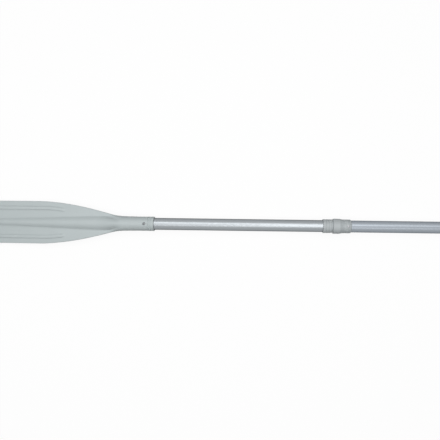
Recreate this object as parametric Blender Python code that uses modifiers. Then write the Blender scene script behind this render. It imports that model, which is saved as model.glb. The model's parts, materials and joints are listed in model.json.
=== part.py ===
"""A take-apart oar, 2.1 m long: a moulded blade riveted to an anodised tube, a twist-lock joint in
mid shaft, and an upper tube with a clamped stop and a grip. X runs along the shaft from the blade
to the handle and Z is up. The oar lies on the plane Z = 0, with the ribbed back of its blade up."""

import math

import bmesh
import bpy
from mathutils import Vector

# Driving dimensions, in millimetres unless the name says otherwise
MM = 0.001
FIT = 0.3
LENGTH = 2100.0
ROUND_STEPS = 32
SMALL_STEPS = 12
SHARP_ANGLE = math.radians(35)
BLADE_SHARP_ANGLE = math.radians(60)

# Tubes
TUBE_RADIUS = 17.5
TUBE_WALL = 1.5
TUBE_BORE = TUBE_RADIUS - TUBE_WALL
SLEEVE_BORE = TUBE_RADIUS + FIT

# Blade: places along it are distances from the mouth of its socket towards the tip
BLADE_LENGTH = 608.0
BLADE_HALF_WIDTH = 62.8
SOCKET_RADIUS = 20.5
SOCKET_DEPTH = 101.0
MOUTH_CHAMFER = ((0.0, -0.8), (0.5, -0.1))
MOUTH_BEADS = ((1.4, 7.8), (10.8, 14.0))
MOUTH_BEAD_HEIGHT = 0.4
MOUTH_GROOVE_DEPTH = 0.5
MOUTH_GROOVE_HALF = 1.5
MOUTH_END = 21.0
SHOULDER_END = 344.8
SHOULDER_LENGTH = 240.0
SHOULDER_DROP = 44.6
SHOULDER_POWER = 1.79
NECK_SOFTNESS = 6.2
TIP_ROUND_START = 548.0
TIP_ROUND_LENGTH = 60.4
TIP_POWER = 2.4
TIP_THIN_POWER = 8
ROUND_END = 92.0
PLATE_START = 140.0
PLATE_HALF_MIDDLE = 2.6
PLATE_HALF_EDGE = 1.9
CAMBER = 2.5
FAIRING_START = 90.0
FAIRING_END = 172.0
SPINE_ROOT = 21.8
SPINE_ROOT_AT = 107.0
SPINE_TAPER = 0.033
SPINE_MOST_SHARE = 0.73
SPINE_NECK_SOFTNESS = 3.0
SPINE_HEIGHT = 11.8
SPINE_TIP_HEIGHT = 3.2
SPINE_FALL_POWER = 0.68
SPINE_SIDE_POWER = 1.4
SPINE_FILLET = 2.0
SPINE_FOOT = 2.0
SPINE_FOOT_SHARE = 0.1
FACE_FLUSH_AT = 260.0
RIB_START = 264.0
RIB_STRAIGHT_FROM = 329.0
RIB_STRAIGHT_TO = 520.0
RIB_END = 578.0
RIB_OFFSET = 42.8
RIB_INTURN = 5.8
RIB_HALF_WIDTH = 5.5
RIB_HEIGHT = 1.8
RIB_FLATNESS = 4
RIB_END_LENGTH = 12.0
RIB_SHARE = 0.13
RIB_MOST_OUT = 0.68
SPOON_START = 150.0
BACK_SPINE_STEPS = 6
BACK_RIB_STEPS = 4
FACE_SPINE_STEPS = 4
EDGE_STEPS = 2

# Joint: places along it are distances from its groove, positive towards the handle
JOINT_FROM_MOUTH = 525.3
LOCK_RING_BLADE_END = -28.1
LOCK_RING_HANDLE_END = -1.6
LOCK_RING_RADIUS = 20.3
LOCK_RING_EDGE = 1.2
LOCK_RING_BANDS = 3
LOCK_RING_VALLEY_DEPTH = 0.5
LOCK_RING_VALLEY_HALF = 0.6
LOCK_RING_VALLEY_SLOPE = 0.9
LOCK_RING_LIP_BORE = 18.3
LOCK_RING_LIP_GAP = 0.6
NOSE_END = -24.9
NOSE_RADIUS = 18.6
NOSE_CHAMFER = 0.7
SNAP_BEAD_AT = -21.2
SNAP_BEAD_HALF = 0.8
SNAP_BEAD_SLOPE = 1.0
SNAP_BEAD_HEIGHT = 0.5
COLLET_SLOT_WIDTH = 2.0
COLLET_SLOT_END = -9.0
SLEEVE_START = 1.6
SLEEVE_EDGE = 2.4
SHOULDER_RADIUS = 22.2
SLEEVE_RADIUS = 20.3
SLEEVE_TAPER_START = 19.0
SLEEVE_TAPER_END = 31.0
SLEEVE_TAPER_STEPS = 4
SLEEVE_GROOVE_AT = 38.2
SLEEVE_GROOVE_HALF = 1.3
SLEEVE_GROOVE_DEPTH = 0.8
SLEEVE_END = 54.8
SLEEVE_END_LENGTH = 5.5
SLEEVE_END_DROP = 1.9
UPPER_TUBE_START = 14.0
LOWER_TUBE_END = -25.7
SPIGOT_BLADE_END = -88.0
SPIGOT_HANDLE_END = 38.0
SPIGOT_RADIUS = 15.7
SPIGOT_WALL = 2.4
SPIGOT_NOSE_LENGTH = 4.0
SPIGOT_NOSE_DROP = 2.5
SEAL_AT = 7.0
SEAL_RADIUS = 16.95
SEAL_CORD_RADIUS = 0.85
SEAL_CORD_SIDES = 6
SEAL_GROOVE_HALF = 1.1
SEAL_GROOVE_DEPTH = 2.0
UPPER_PLUG_AT = 58.0

# Rivets
BLADE_RIVET_AT = 26.8
SLEEVE_RIVET_AT = 45.0
RIVET_SHANK_RADIUS = 2.0
RIVET_TAIL_RADIUS = 3.1
RIVET_TAIL_LENGTH = 3.0
RIVET_TAIL_TAPER = 0.5
RIVET_EYE_RADIUS = 1.15
RIVET_EYE_DEPTH = 1.6
RIVET_RIM = 0.4
BLADE_RIVET_HEAD_RADIUS = 3.9
BLADE_RIVET_DOME = 0.5
BLADE_RECESS_RADIUS = 4.3
BLADE_RECESS_DEPTH = 1.7
SLEEVE_RIVET_HEAD_RADIUS = 3.3
SLEEVE_RIVET_DOME = 0.7

# Stop, grip and plugs
STOP_FACE_X = 450.0
STOP_FLANGE_RADIUS = 31.0
STOP_FLANGE_WIDTH = 7.0
STOP_HUB_RADIUS = 23.0
STOP_LENGTH = 26.0
STOP_EDGE = 1.8
STOP_FILLET = 2.0
STOP_EAR_START = 3.0
STOP_EAR_END = 24.0
STOP_EAR_REACH = 37.0
STOP_EAR_HALF_HEIGHT = 8.5
STOP_EAR_EDGE = 1.6
STOP_SLIT_HALF_WIDTH = 1.2
SCREW_X = STOP_FACE_X + (STOP_EAR_START + STOP_EAR_END) / 2
SCREW_FROM_AXIS = 30.0
SCREW_RADIUS = 2.5
SCREW_HEAD_RADIUS = 4.6
SCREW_HEAD_HEIGHT = 3.2
SCREW_HEAD_EDGE = 1.2
SCREW_SLOT_HALF_WIDTH = 0.6
SCREW_SLOT_DEPTH = 1.4
SCREW_LENGTH = 24.0
SCREW_END_CHAMFER = 0.8
WASHER_RADIUS = 5.2
WASHER_THICKNESS = 1.0
NUT_ACROSS_FLATS = 8.0
NUT_HEIGHT = 4.0
NUT_EDGE = 0.4
GRIP_LENGTH = 128.0
GRIP_RADIUS = 19.9
GRIP_SWELL = 0.9
GRIP_EDGE = 1.4
GRIP_GROOVES = 4
GRIP_GROOVE_MARGIN = 12.0
GRIP_GROOVE_DEPTH = 0.8
GRIP_GROOVE_HALF = 1.5
CAP_FLANGE_RADIUS = 22.5
CAP_FLANGE_WIDTH = 6.0
CAP_INNER_EDGE = 1.5
CAP_OUTER_EDGE = 3.5
CAP_PLUG_LENGTH = 34.0
CAP_PLUG_WALL = 2.2
CAP_PLUG_CHAMFER = 1.5
PLUG_LENGTH = 22.0
PLUG_RADIUS = TUBE_BORE - FIT
PLUG_CHAMFER = 1.5
LOWER_PLUG_INSET = 2.0

# Places along X that follow from the sizes above
TIP_X = -LENGTH / 2
HANDLE_X = LENGTH / 2
MOUTH_X = TIP_X + BLADE_LENGTH
JOINT_X = MOUTH_X + JOINT_FROM_MOUTH
AXIS_Z = STOP_FLANGE_RADIUS
TUBE_END_X = HANDLE_X - CAP_FLANGE_WIDTH
GRIP_START_X = TUBE_END_X - GRIP_LENGTH
LOWER_TUBE_START_X = MOUTH_X - SOCKET_DEPTH + 1.0
BLADE_RIVET_X = MOUTH_X - BLADE_RIVET_AT
SLEEVE_RIVET_X = JOINT_X + SLEEVE_RIVET_AT

# A cutter runs this far past the surface that it cuts
CUT_PAST = 5.0


def clear_scene():
    for obj in list(bpy.data.objects):
        bpy.data.objects.remove(obj)


def collection(name):
    made = bpy.data.collections.new(name)
    bpy.context.scene.collection.children.link(made)
    return made


def material(name, colour, roughness, metallic=0.0):
    made = bpy.data.materials.new(name)
    made.use_nodes = True
    shader = made.node_tree.nodes["Principled BSDF"]
    shader.inputs["Base Color"].default_value = (*colour, 1.0)
    shader.inputs["Roughness"].default_value = roughness
    shader.inputs["Metallic"].default_value = metallic
    return made


clear_scene()
OAR = collection("oar")
CUTTERS = collection("cutters")
BLADE_PLASTIC = material("blade_plastic", (0.47, 0.52, 0.51), 0.45)
JOINT_PLASTIC = material("joint_plastic", (0.40, 0.45, 0.45), 0.45)
ANODISED = material("anodised_aluminium", (0.62, 0.65, 0.68), 0.35, 1.0)
RIVET_METAL = material("rivet_aluminium", (0.55, 0.56, 0.58), 0.4, 1.0)
SPIGOT_PLASTIC = material("spigot_plastic", (0.07, 0.07, 0.08), 0.4)
SEAL_RUBBER = material("seal_rubber", (0.02, 0.02, 0.02), 0.7)
PLUG_FOAM = material("plug_foam", (0.75, 0.74, 0.70), 0.9)
GRIP_RUBBER = material("grip_rubber", (0.05, 0.055, 0.06), 0.75)
STOP_PLASTIC = material("stop_plastic", (0.06, 0.065, 0.07), 0.5)
SCREW_STEEL = material("screw_steel", (0.60, 0.60, 0.60), 0.3, 1.0)


def smooth_step(low, high, value):
    t = min(max((value - low) / (high - low), 0.0), 1.0)
    return t * t * (3 - 2 * t)


def smooth_max(a, b, softness):
    return 0.5 * (a + b + math.sqrt((a - b) ** 2 + softness**2))


def mix(a, b, share):
    return a + (b - a) * share


def spaced(start, end, count):
    """count places from start to end, leaving out end."""
    return [mix(start, end, i / count) for i in range(count)]


def arc(along, radius, size, start, end, steps=4):
    """Points (along, radius) on an arc, whose angles run from the handle's direction outwards."""
    angles = [math.radians(mix(start, end, i / steps)) for i in range(steps + 1)]
    return [(along + size * math.cos(a), radius + size * math.sin(a)) for a in angles]


def add_object(name, mesh, finish, where, place=(0.0, 0.0, 0.0)):
    obj = bpy.data.objects.new(name, mesh)
    if finish:
        mesh.materials.append(finish)
    obj.location = place
    where.objects.link(obj)
    return obj


def applied(obj, sharp=SHARP_ANGLE):
    """The object with its modifiers made into its mesh, shaded smooth up to the sharp angle."""
    bpy.context.view_layer.update()
    graph = bpy.context.evaluated_depsgraph_get()
    mesh = bpy.data.meshes.new_from_object(obj.evaluated_get(graph))
    obj.modifiers.clear()
    obj.data = mesh
    mesh.shade_smooth()
    mesh.set_sharp_from_angle(angle=sharp)
    return obj


def turned_mesh(name, points, finish, where, place, rotation, steps):
    """Turns (radius, height) points about the object's own Z axis. A profile that starts on the
    axis is open, and any other closes on itself."""
    closed = points[0][0] > 0
    count = len(points)
    edges = [(i, (i + 1) % count) for i in range(count if closed else count - 1)]
    mesh = bpy.data.meshes.new(name)
    mesh.from_pydata([(radius * MM, 0.0, height * MM) for radius, height in points], edges, [])
    obj = add_object(name, mesh, finish, where, [value * MM for value in place])
    obj.rotation_euler = rotation
    screw = obj.modifiers.new("turn", "SCREW")
    screw.angle = math.radians(360)
    screw.steps = steps
    screw.render_steps = steps
    screw.use_merge_vertices = True
    screw.merge_threshold = 0.00001
    return applied(obj)


def turned(name, profile, x, finish):
    """A piece turned about the shaft's axis. Its profile's points are (along, radius), and the
    outer side runs from the handle's end to the blade's end."""
    points = [(radius, along) for along, radius in profile]
    along_shaft = (0.0, math.radians(90), 0.0)
    return turned_mesh(name, points, finish, OAR, (x, 0.0, AXIS_Z), along_shaft, ROUND_STEPS)


def upright(name, points, x, y, finish, up=1, steps=SMALL_STEPS):
    """A piece turned about a vertical line. Its points are (radius, height above the shaft's
    axis), and the outer side runs from top to bottom. up is -1 for a piece that points down."""
    rotation = (0.0 if up > 0 else math.radians(180), 0.0, 0.0)
    return turned_mesh(name, points, finish, OAR, (x, y, AXIS_Z), rotation, steps)


def hollow(outer, bore):
    """The closed profile of a piece with a bore. Both lists run from the blade's end."""
    return list(reversed(outer)) + list(bore)


def solid(outer):
    """The profile of a piece with no bore, whose list runs from the blade's end."""
    return list(reversed(outer))


def boolean(obj, other, operation):
    """Cuts or joins, and keeps the other object as a guide that isn't part of the oar."""
    other.users_collection[0].objects.unlink(other)
    CUTTERS.objects.link(other)
    other.hide_render = True
    other.display_type = "WIRE"
    modifier = obj.modifiers.new(other.name, "BOOLEAN")
    modifier.operation = operation
    modifier.solver = "EXACT"
    modifier.object = other
    return obj


def box(name, low, high):
    """A box between two corners, in millimetres from the shaft's axis."""
    centre = [(a + b) / 2 for a, b in zip(low, high)]
    size = [b - a for a, b in zip(low, high)]
    mesh = bpy.data.meshes.new(name)
    shape = bmesh.new()
    bmesh.ops.create_cube(shape, size=1.0)
    bmesh.ops.scale(shape, vec=[s * MM for s in size], verts=shape.verts)
    shape.to_mesh(mesh)
    shape.free()
    place = (centre[0] * MM, centre[1] * MM, (centre[2] + AXIS_Z) * MM)
    return add_object(name, mesh, None, CUTTERS, place)


# Blade


def mouth_profile():
    """The socket's mouth as (distance, height above its plain surface): a chamfer, and a ring
    and a groove for each bead."""
    points = list(MOUTH_CHAMFER)
    for start, end in MOUTH_BEADS:
        points += [(start, MOUTH_BEAD_HEIGHT), (end, MOUTH_BEAD_HEIGHT)]
        points.append((end + MOUTH_GROOVE_HALF, -MOUTH_GROOVE_DEPTH))
    return points + [(end + 2 * MOUTH_GROOVE_HALF, MOUTH_BEAD_HEIGHT), (MOUTH_END, 0.0)]


MOUTH_PROFILE = mouth_profile()


def bead_height(d):
    for (d0, h0), (d1, h1) in zip(MOUTH_PROFILE, MOUTH_PROFILE[1:]):
        if d <= d1:
            return mix(h0, h1, (d - d0) / (d1 - d0))
    return 0.0


def past_tip_start(d):
    return max(d - TIP_ROUND_START, 0.0) / TIP_ROUND_LENGTH


def half_width(d):
    left = max(SHOULDER_END - d, 0.0) / SHOULDER_LENGTH
    flare = BLADE_HALF_WIDTH - SHOULDER_DROP * left**SHOULDER_POWER
    width = smooth_max(SOCKET_RADIUS, flare, NECK_SOFTNESS)
    return width * (1 - past_tip_start(d) ** TIP_POWER) ** (1 / TIP_POWER)


def tip_thinning(d):
    return math.sqrt(1 - past_tip_start(d) ** TIP_THIN_POWER)


def spine_half_width(d):
    line = SPINE_ROOT - SPINE_TAPER * (d - SPINE_ROOT_AT)
    return -smooth_max(-line, -SPINE_MOST_SHARE * half_width(d), SPINE_NECK_SOFTNESS)


def back_height(d):
    """The crest's height over the middle of the plate. The socket's round back sinks to the
    height of the spine, which falls slowly to the tip."""
    left = max(1 - max(d - SOCKET_DEPTH, 0.0) / (BLADE_LENGTH - SOCKET_DEPTH), 0.0)
    spine = SPINE_TIP_HEIGHT + (SPINE_HEIGHT - SPINE_TIP_HEIGHT) * left**SPINE_FALL_POWER
    fairing = 1 - smooth_step(FAIRING_START, FAIRING_END, d)
    return spine + (SOCKET_RADIUS - SPINE_HEIGHT) * fairing


def face_height(d):
    """How far the smooth side bulges under the plate, which is nothing past the neck."""
    return SOCKET_RADIUS * (1 - smooth_step(SOCKET_DEPTH, FACE_FLUSH_AT, d))


def rib_centre(d):
    """The rib's distance from the middle. Both its ends turn in, and short of its start the
    line runs on to the neck with the plate."""
    before = min(max(RIB_STRAIGHT_FROM - d, 0.0) / (RIB_STRAIGHT_FROM - RIB_START), 1.0)
    after = max(d - RIB_STRAIGHT_TO, 0.0) / (RIB_END - RIB_STRAIGHT_TO)
    return RIB_OFFSET - RIB_INTURN * (before**2 + after**2)


def rib_height(d):
    start = smooth_step(RIB_START, RIB_START + RIB_END_LENGTH, d)
    end = 1 - smooth_step(RIB_END - RIB_END_LENGTH, RIB_END, d)
    return RIB_HEIGHT * start * end


def camber_drop(y):
    return CAMBER * (y / BLADE_HALF_WIDTH) ** 2


def back_lines(d):
    """The plate's back from its middle to its edge, as (y, z) points: spine, rib and edge."""
    width, spine = half_width(d), spine_half_width(d)
    thin = tip_thinning(d)
    edge = PLATE_HALF_EDGE * thin
    crest = back_height(d)
    points = []
    for i in range(BACK_SPINE_STEPS + 1):
        angle = math.radians(90 * i / BACK_SPINE_STEPS)
        side = crest * math.cos(angle) ** SPINE_SIDE_POWER
        height = smooth_max(PLATE_HALF_MIDDLE, side, SPINE_FILLET)
        points.append((spine * math.sin(angle), height * thin))
    span = width - edge - spine
    points.append((spine + min(SPINE_FOOT, SPINE_FOOT_SHARE * span), PLATE_HALF_MIDDLE * thin))
    rib_half = min(RIB_HALF_WIDTH, RIB_SHARE * span)
    centre = min(rib_centre(d), spine + RIB_MOST_OUT * span)
    for i in range(BACK_RIB_STEPS + 1):
        across = 2 * i / BACK_RIB_STEPS - 1
        y = centre + across * rib_half
        height = mix(PLATE_HALF_MIDDLE, PLATE_HALF_EDGE, y / width) * thin
        points.append((y, height + rib_height(d) * (1 - across**RIB_FLATNESS)))
    for i in range(EDGE_STEPS + 1):
        angle = math.radians(90 * i / EDGE_STEPS)
        points.append((width - edge + edge * math.sin(angle), edge * math.cos(angle)))
    return points


def face_lines(d):
    """The plate's smooth side, from its middle to its edge, as (y, depth) points."""
    width, spine = half_width(d), spine_half_width(d)
    thin = tip_thinning(d)
    edge = PLATE_HALF_EDGE * thin
    points = []
    for i in range(FACE_SPINE_STEPS + 1):
        angle = math.radians(90 * i / FACE_SPINE_STEPS)
        bulge = smooth_max(PLATE_HALF_MIDDLE, face_height(d) * math.cos(angle), SPINE_FILLET)
        points.append((spine * math.sin(angle), bulge * thin))
    middle = mix(spine, width - edge, 0.5)
    points.append((middle, mix(PLATE_HALF_MIDDLE, PLATE_HALF_EDGE, 0.5) * thin))
    for i in range(EDGE_STEPS + 1):
        angle = math.radians(90 * i / EDGE_STEPS)
        points.append((width - edge + edge * math.sin(angle), edge * math.cos(angle)))
    return points


def side_points(d, lines, round_height, sign):
    """One side of the section, which is round at the socket and turns into the plate's lines."""
    plate_share = smooth_step(ROUND_END, PLATE_START, d)
    width = half_width(d) + bead_height(d)
    points = []
    for i, (y, height) in enumerate(lines):
        angle = math.radians(90 * i / (len(lines) - 1))
        across = mix(width * math.sin(angle), y, plate_share)
        up = mix(round_height * math.cos(angle), height, plate_share)
        points.append((across, sign * up - camber_drop(across) * plate_share))
    return points


def section(d):
    """The ring of (y, z) points round the blade at d, measured from its own middle line."""
    bead = bead_height(d)
    back = side_points(d, back_lines(d), back_height(d) + bead, 1)
    face = side_points(d, face_lines(d), max(face_height(d), PLATE_HALF_MIDDLE) + bead, -1)
    right = back + list(reversed(face[:-1]))
    left = [(-y, z) for y, z in reversed(right[1:-1])]
    return right + left


def blade_stations():
    mouth = [d for d, _ in MOUTH_PROFILE]
    socket = spaced(MOUTH_END + 10, ROUND_END, 2)
    neck = spaced(ROUND_END, RIB_START, 14)
    rib_start = spaced(RIB_START, RIB_START + RIB_END_LENGTH, 2)
    body = spaced(RIB_START + RIB_END_LENGTH, TIP_ROUND_START, 9)
    tip_length = BLADE_LENGTH - TIP_ROUND_START
    tip = [TIP_ROUND_START + tip_length * math.sin(math.radians(10 * i)) for i in range(9)]
    return mouth + socket + neck + rib_start + body + tip + [BLADE_LENGTH]


def spoon_shape(d):
    return (max(d - SPOON_START, 0.0) / (BLADE_LENGTH - SPOON_START)) ** 2


def loft(name, rings, finish):
    """A skin through rings with the same number of points, closed by a face at each end."""
    shape = bmesh.new()
    loops = [[shape.verts.new(Vector(point) * MM) for point in ring] for ring in rings]
    count = len(loops[0])
    for first, second in zip(loops, loops[1:]):
        for i in range(count):
            j = (i + 1) % count
            shape.faces.new((first[i], first[j], second[j], second[i]))
    shape.faces.new(reversed(loops[0]))
    shape.faces.new(loops[-1])
    bmesh.ops.recalc_face_normals(shape, faces=shape.faces)
    mesh = bpy.data.meshes.new(name)
    shape.to_mesh(mesh)
    shape.free()
    return add_object(name, mesh, finish, OAR)


def hole_cutter(name, x, y, radius, low, high, up=1):
    """A round upright cutter between two heights from the shaft's axis."""
    return upright(name, [(0.0, high), (radius, high), (radius, low), (0.0, low)], x, y, None, up)


def make_blade():
    stations = blade_stations()
    sections = [(d, section(d)) for d in stations]
    # The spoon is as deep as it takes for the blade's edges to reach the ground.
    outer_part = [(d, min(z for _, z in ring)) for d, ring in sections if d > SHOULDER_END]
    spoon = min((AXIS_Z + lowest) / spoon_shape(d) for d, lowest in outer_part)
    rings = []
    for d, ring in sections:
        middle = AXIS_Z - spoon * spoon_shape(d)
        rings.append([(MOUTH_X - d, y, middle + z) for y, z in ring])
    blade = loft("blade", rings, BLADE_PLASTIC)
    bore = [(-SOCKET_DEPTH, 0.0), (-SOCKET_DEPTH, SLEEVE_BORE), (CUT_PAST, SLEEVE_BORE), (CUT_PAST, 0.0)]
    boolean(blade, turned("socket_bore", solid(bore), MOUTH_X, None), "DIFFERENCE")
    seat, outside = SOCKET_RADIUS - BLADE_RECESS_DEPTH, SOCKET_RADIUS + CUT_PAST
    for side, label in ((1, "top"), (-1, "bottom")):
        recess = hole_cutter("recess_" + label, BLADE_RIVET_X, 0.0, BLADE_RECESS_RADIUS, seat, outside, side)
        boolean(blade, recess, "DIFFERENCE")
    hole_radius = RIVET_SHANK_RADIUS + FIT
    through = hole_cutter("socket_rivet_hole", BLADE_RIVET_X, 0.0, hole_radius, -outside, outside)
    boolean(blade, through, "DIFFERENCE")
    return applied(blade, BLADE_SHARP_ANGLE)


# Tubes and plugs


def make_tube(name, start, end, rivet_x):
    """A plain tube between two places along X, with a rivet's hole through both its walls."""
    outer = [(0.0, TUBE_RADIUS), (end - start, TUBE_RADIUS)]
    bore = [(0.0, TUBE_BORE), (end - start, TUBE_BORE)]
    tube = turned(name, hollow(outer, bore), start, ANODISED)
    outside = TUBE_RADIUS + CUT_PAST
    hole_radius = RIVET_SHANK_RADIUS + FIT
    hole = hole_cutter(name + "_rivet_hole", rivet_x, 0.0, hole_radius, -outside, outside)
    boolean(tube, hole, "DIFFERENCE")
    return applied(tube)


def make_plug(name, start):
    """A short foam plug that seals a tube, with both rims chamfered."""
    rim = PLUG_RADIUS - PLUG_CHAMFER
    outer = [(0.0, 0.0), (0.0, rim), (PLUG_CHAMFER, PLUG_RADIUS)]
    outer += [(PLUG_LENGTH - PLUG_CHAMFER, PLUG_RADIUS), (PLUG_LENGTH, rim), (PLUG_LENGTH, 0.0)]
    return turned(name, solid(outer), start, PLUG_FOAM)


def make_rivet(name, x, seat, head_radius, dome, up):
    """A blind rivet: a domed head with its eye, the shank, and the tail that swelled inside."""
    rim = seat + RIVET_RIM
    top = rim + dome
    eye_floor = top - RIVET_EYE_DEPTH
    rise = [math.radians(angle) for angle in (60, 30, 0)]
    points = [(0.0, eye_floor), (RIVET_EYE_RADIUS, eye_floor), (RIVET_EYE_RADIUS, top)]
    points += [(head_radius * math.cos(a), rim + dome * math.sin(a)) for a in rise]
    tail_top = TUBE_BORE - FIT
    tail_bottom = tail_top - RIVET_TAIL_LENGTH
    points += [(head_radius, seat), (RIVET_SHANK_RADIUS, seat), (RIVET_SHANK_RADIUS, tail_top)]
    points += [(RIVET_TAIL_RADIUS, tail_top - RIVET_TAIL_TAPER)]
    points += [(RIVET_TAIL_RADIUS - RIVET_TAIL_TAPER, tail_bottom), (0.0, tail_bottom)]
    return upright(name, points, x, 0.0, RIVET_METAL, up)


def make_rivet_pair(name, x, seat, head_radius, dome):
    front = make_rivet(name + "_front", x, seat, head_radius, dome, 1)
    back = make_rivet(name + "_back", x, seat, head_radius, dome, -1)
    return [front, back]


# Joint


def make_spigot():
    """A moulded cup that is bonded into the lower tube and slides into the upper half."""
    inner = SPIGOT_RADIUS - SPIGOT_WALL
    floor = SPIGOT_HANDLE_END - SPIGOT_NOSE_LENGTH
    outer = [(SPIGOT_BLADE_END, SPIGOT_RADIUS), (floor, SPIGOT_RADIUS)]
    outer += [(SPIGOT_HANDLE_END, SPIGOT_RADIUS - SPIGOT_NOSE_DROP), (SPIGOT_HANDLE_END, 0.0)]
    bore = [(SPIGOT_BLADE_END, inner), (floor, inner), (floor, 0.0)]
    return turned("joint_spigot", hollow(outer, bore), JOINT_X, SPIGOT_PLASTIC)


def make_seal():
    """An O-ring in the groove of the coupler's bore."""
    ring = arc(SEAL_AT, SEAL_RADIUS, SEAL_CORD_RADIUS, 0, 360, SEAL_CORD_SIDES)[:-1]
    return turned("joint_seal", ring, JOINT_X, SEAL_RUBBER)


def coupler_outside():
    """The coupler's outer side: nose, snap bead, groove, shoulder, taper and end band."""
    bead_start, bead_end = SNAP_BEAD_AT - SNAP_BEAD_HALF, SNAP_BEAD_AT + SNAP_BEAD_HALF
    bead_radius = NOSE_RADIUS + SNAP_BEAD_HEIGHT
    outer = [(NOSE_END, NOSE_RADIUS - NOSE_CHAMFER), (NOSE_END + NOSE_CHAMFER, NOSE_RADIUS)]
    outer += [(bead_start - SNAP_BEAD_SLOPE, NOSE_RADIUS), (bead_start, bead_radius)]
    outer += [(bead_end, bead_radius), (bead_end + SNAP_BEAD_SLOPE, NOSE_RADIUS), (SLEEVE_START, NOSE_RADIUS)]
    outer += arc(SLEEVE_START + SLEEVE_EDGE, SHOULDER_RADIUS - SLEEVE_EDGE, SLEEVE_EDGE, 180, 90, 3)
    for i in range(SLEEVE_TAPER_STEPS + 1):
        along = mix(SLEEVE_TAPER_START, SLEEVE_TAPER_END, i / SLEEVE_TAPER_STEPS)
        share = smooth_step(SLEEVE_TAPER_START, SLEEVE_TAPER_END, along)
        outer.append((along, mix(SHOULDER_RADIUS, SLEEVE_RADIUS, share)))
    outer.append((SLEEVE_GROOVE_AT - SLEEVE_GROOVE_HALF, SLEEVE_RADIUS))
    outer.append((SLEEVE_GROOVE_AT, SLEEVE_RADIUS - SLEEVE_GROOVE_DEPTH))
    outer.append((SLEEVE_GROOVE_AT + SLEEVE_GROOVE_HALF, SLEEVE_RADIUS))
    for angle in (0, 30, 60, 90):
        turn = math.radians(angle)
        along = SLEEVE_END - SLEEVE_END_LENGTH * (1 - math.sin(turn))
        outer.append((along, SLEEVE_RADIUS - SLEEVE_END_DROP * (1 - math.cos(turn))))
    return outer


def coupler_bore():
    """The coupler's bore: the spigot's stretch with the seal's groove, a step, and the tube's."""
    groove_start, groove_end = SEAL_AT - SEAL_GROOVE_HALF, SEAL_AT + SEAL_GROOVE_HALF
    groove_radius = TUBE_BORE + SEAL_GROOVE_DEPTH
    step = UPPER_TUBE_START - FIT
    bore = [(NOSE_END, TUBE_BORE), (groove_start, TUBE_BORE), (groove_start, groove_radius)]
    bore += [(groove_end, groove_radius), (groove_end, TUBE_BORE), (step, TUBE_BORE)]
    return bore + [(step, SLEEVE_BORE), (SLEEVE_END, SLEEVE_BORE)]


def make_coupler():
    """The sleeve riveted to the upper tube, and its slotted nose under the lock ring."""
    coupler = turned("coupler", hollow(coupler_outside(), coupler_bore()), JOINT_X, JOINT_PLASTIC)
    half = COLLET_SLOT_WIDTH / 2
    reach = NOSE_RADIUS + CUT_PAST
    start, end = JOINT_X + NOSE_END - CUT_PAST, JOINT_X + COLLET_SLOT_END
    boolean(coupler, box("collet_slot_level", (start, -reach, -half), (end, reach, half)), "DIFFERENCE")
    boolean(coupler, box("collet_slot_upright", (start, -half, -reach), (end, half, reach)), "DIFFERENCE")
    outside = SLEEVE_RADIUS + CUT_PAST
    hole_radius = RIVET_SHANK_RADIUS + FIT
    hole = hole_cutter("sleeve_rivet_hole", SLEEVE_RIVET_X, 0.0, hole_radius, -outside, outside)
    boolean(coupler, hole, "DIFFERENCE")
    return applied(coupler)


def make_lock_ring():
    """The banded ring that turns on the coupler's nose and squeezes its fingers on the spigot."""
    start, end, edge = LOCK_RING_BLADE_END, LOCK_RING_HANDLE_END, LOCK_RING_EDGE
    outer = arc(start + edge, LOCK_RING_RADIUS - edge, edge, 180, 90, 2)
    band = (end - start - 2 * edge) / LOCK_RING_BANDS
    valley_radius = LOCK_RING_RADIUS - LOCK_RING_VALLEY_DEPTH
    shoulder = LOCK_RING_VALLEY_HALF + LOCK_RING_VALLEY_SLOPE
    for i in range(1, LOCK_RING_BANDS):
        middle = start + edge + band * i
        outer += [(middle - shoulder, LOCK_RING_RADIUS), (middle - LOCK_RING_VALLEY_HALF, valley_radius)]
        outer += [(middle + LOCK_RING_VALLEY_HALF, valley_radius), (middle + shoulder, LOCK_RING_RADIUS)]
    outer += arc(end - edge, LOCK_RING_RADIUS - edge, edge, 90, 0, 2)
    turn_bore = NOSE_RADIUS + FIT
    snap_bore = turn_bore + SNAP_BEAD_HEIGHT
    snap_half = SNAP_BEAD_HALF + FIT
    lip_end = NOSE_END - LOCK_RING_LIP_GAP
    bore = [(start, LOCK_RING_LIP_BORE), (lip_end, LOCK_RING_LIP_BORE), (lip_end, turn_bore)]
    bore += [(SNAP_BEAD_AT - snap_half - SNAP_BEAD_SLOPE, turn_bore), (SNAP_BEAD_AT - snap_half, snap_bore)]
    bore += [(SNAP_BEAD_AT + snap_half, snap_bore), (SNAP_BEAD_AT + snap_half + SNAP_BEAD_SLOPE, turn_bore)]
    bore.append((end, turn_bore))
    return turned("lock_ring", hollow(outer, bore), JOINT_X, JOINT_PLASTIC)


# Stop


def make_stop_ears():
    """The block beside the hub that the slit splits into two ears."""
    low = (STOP_FACE_X + STOP_EAR_START, SLEEVE_BORE + 2, -STOP_EAR_HALF_HEIGHT)
    high = (STOP_FACE_X + STOP_EAR_END, STOP_EAR_REACH, STOP_EAR_HALF_HEIGHT)
    ears = box("stop_ears", low, high)
    rounding = ears.modifiers.new("rounding", "BEVEL")
    rounding.width = STOP_EAR_EDGE * MM
    rounding.segments = 2
    return applied(ears)


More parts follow.
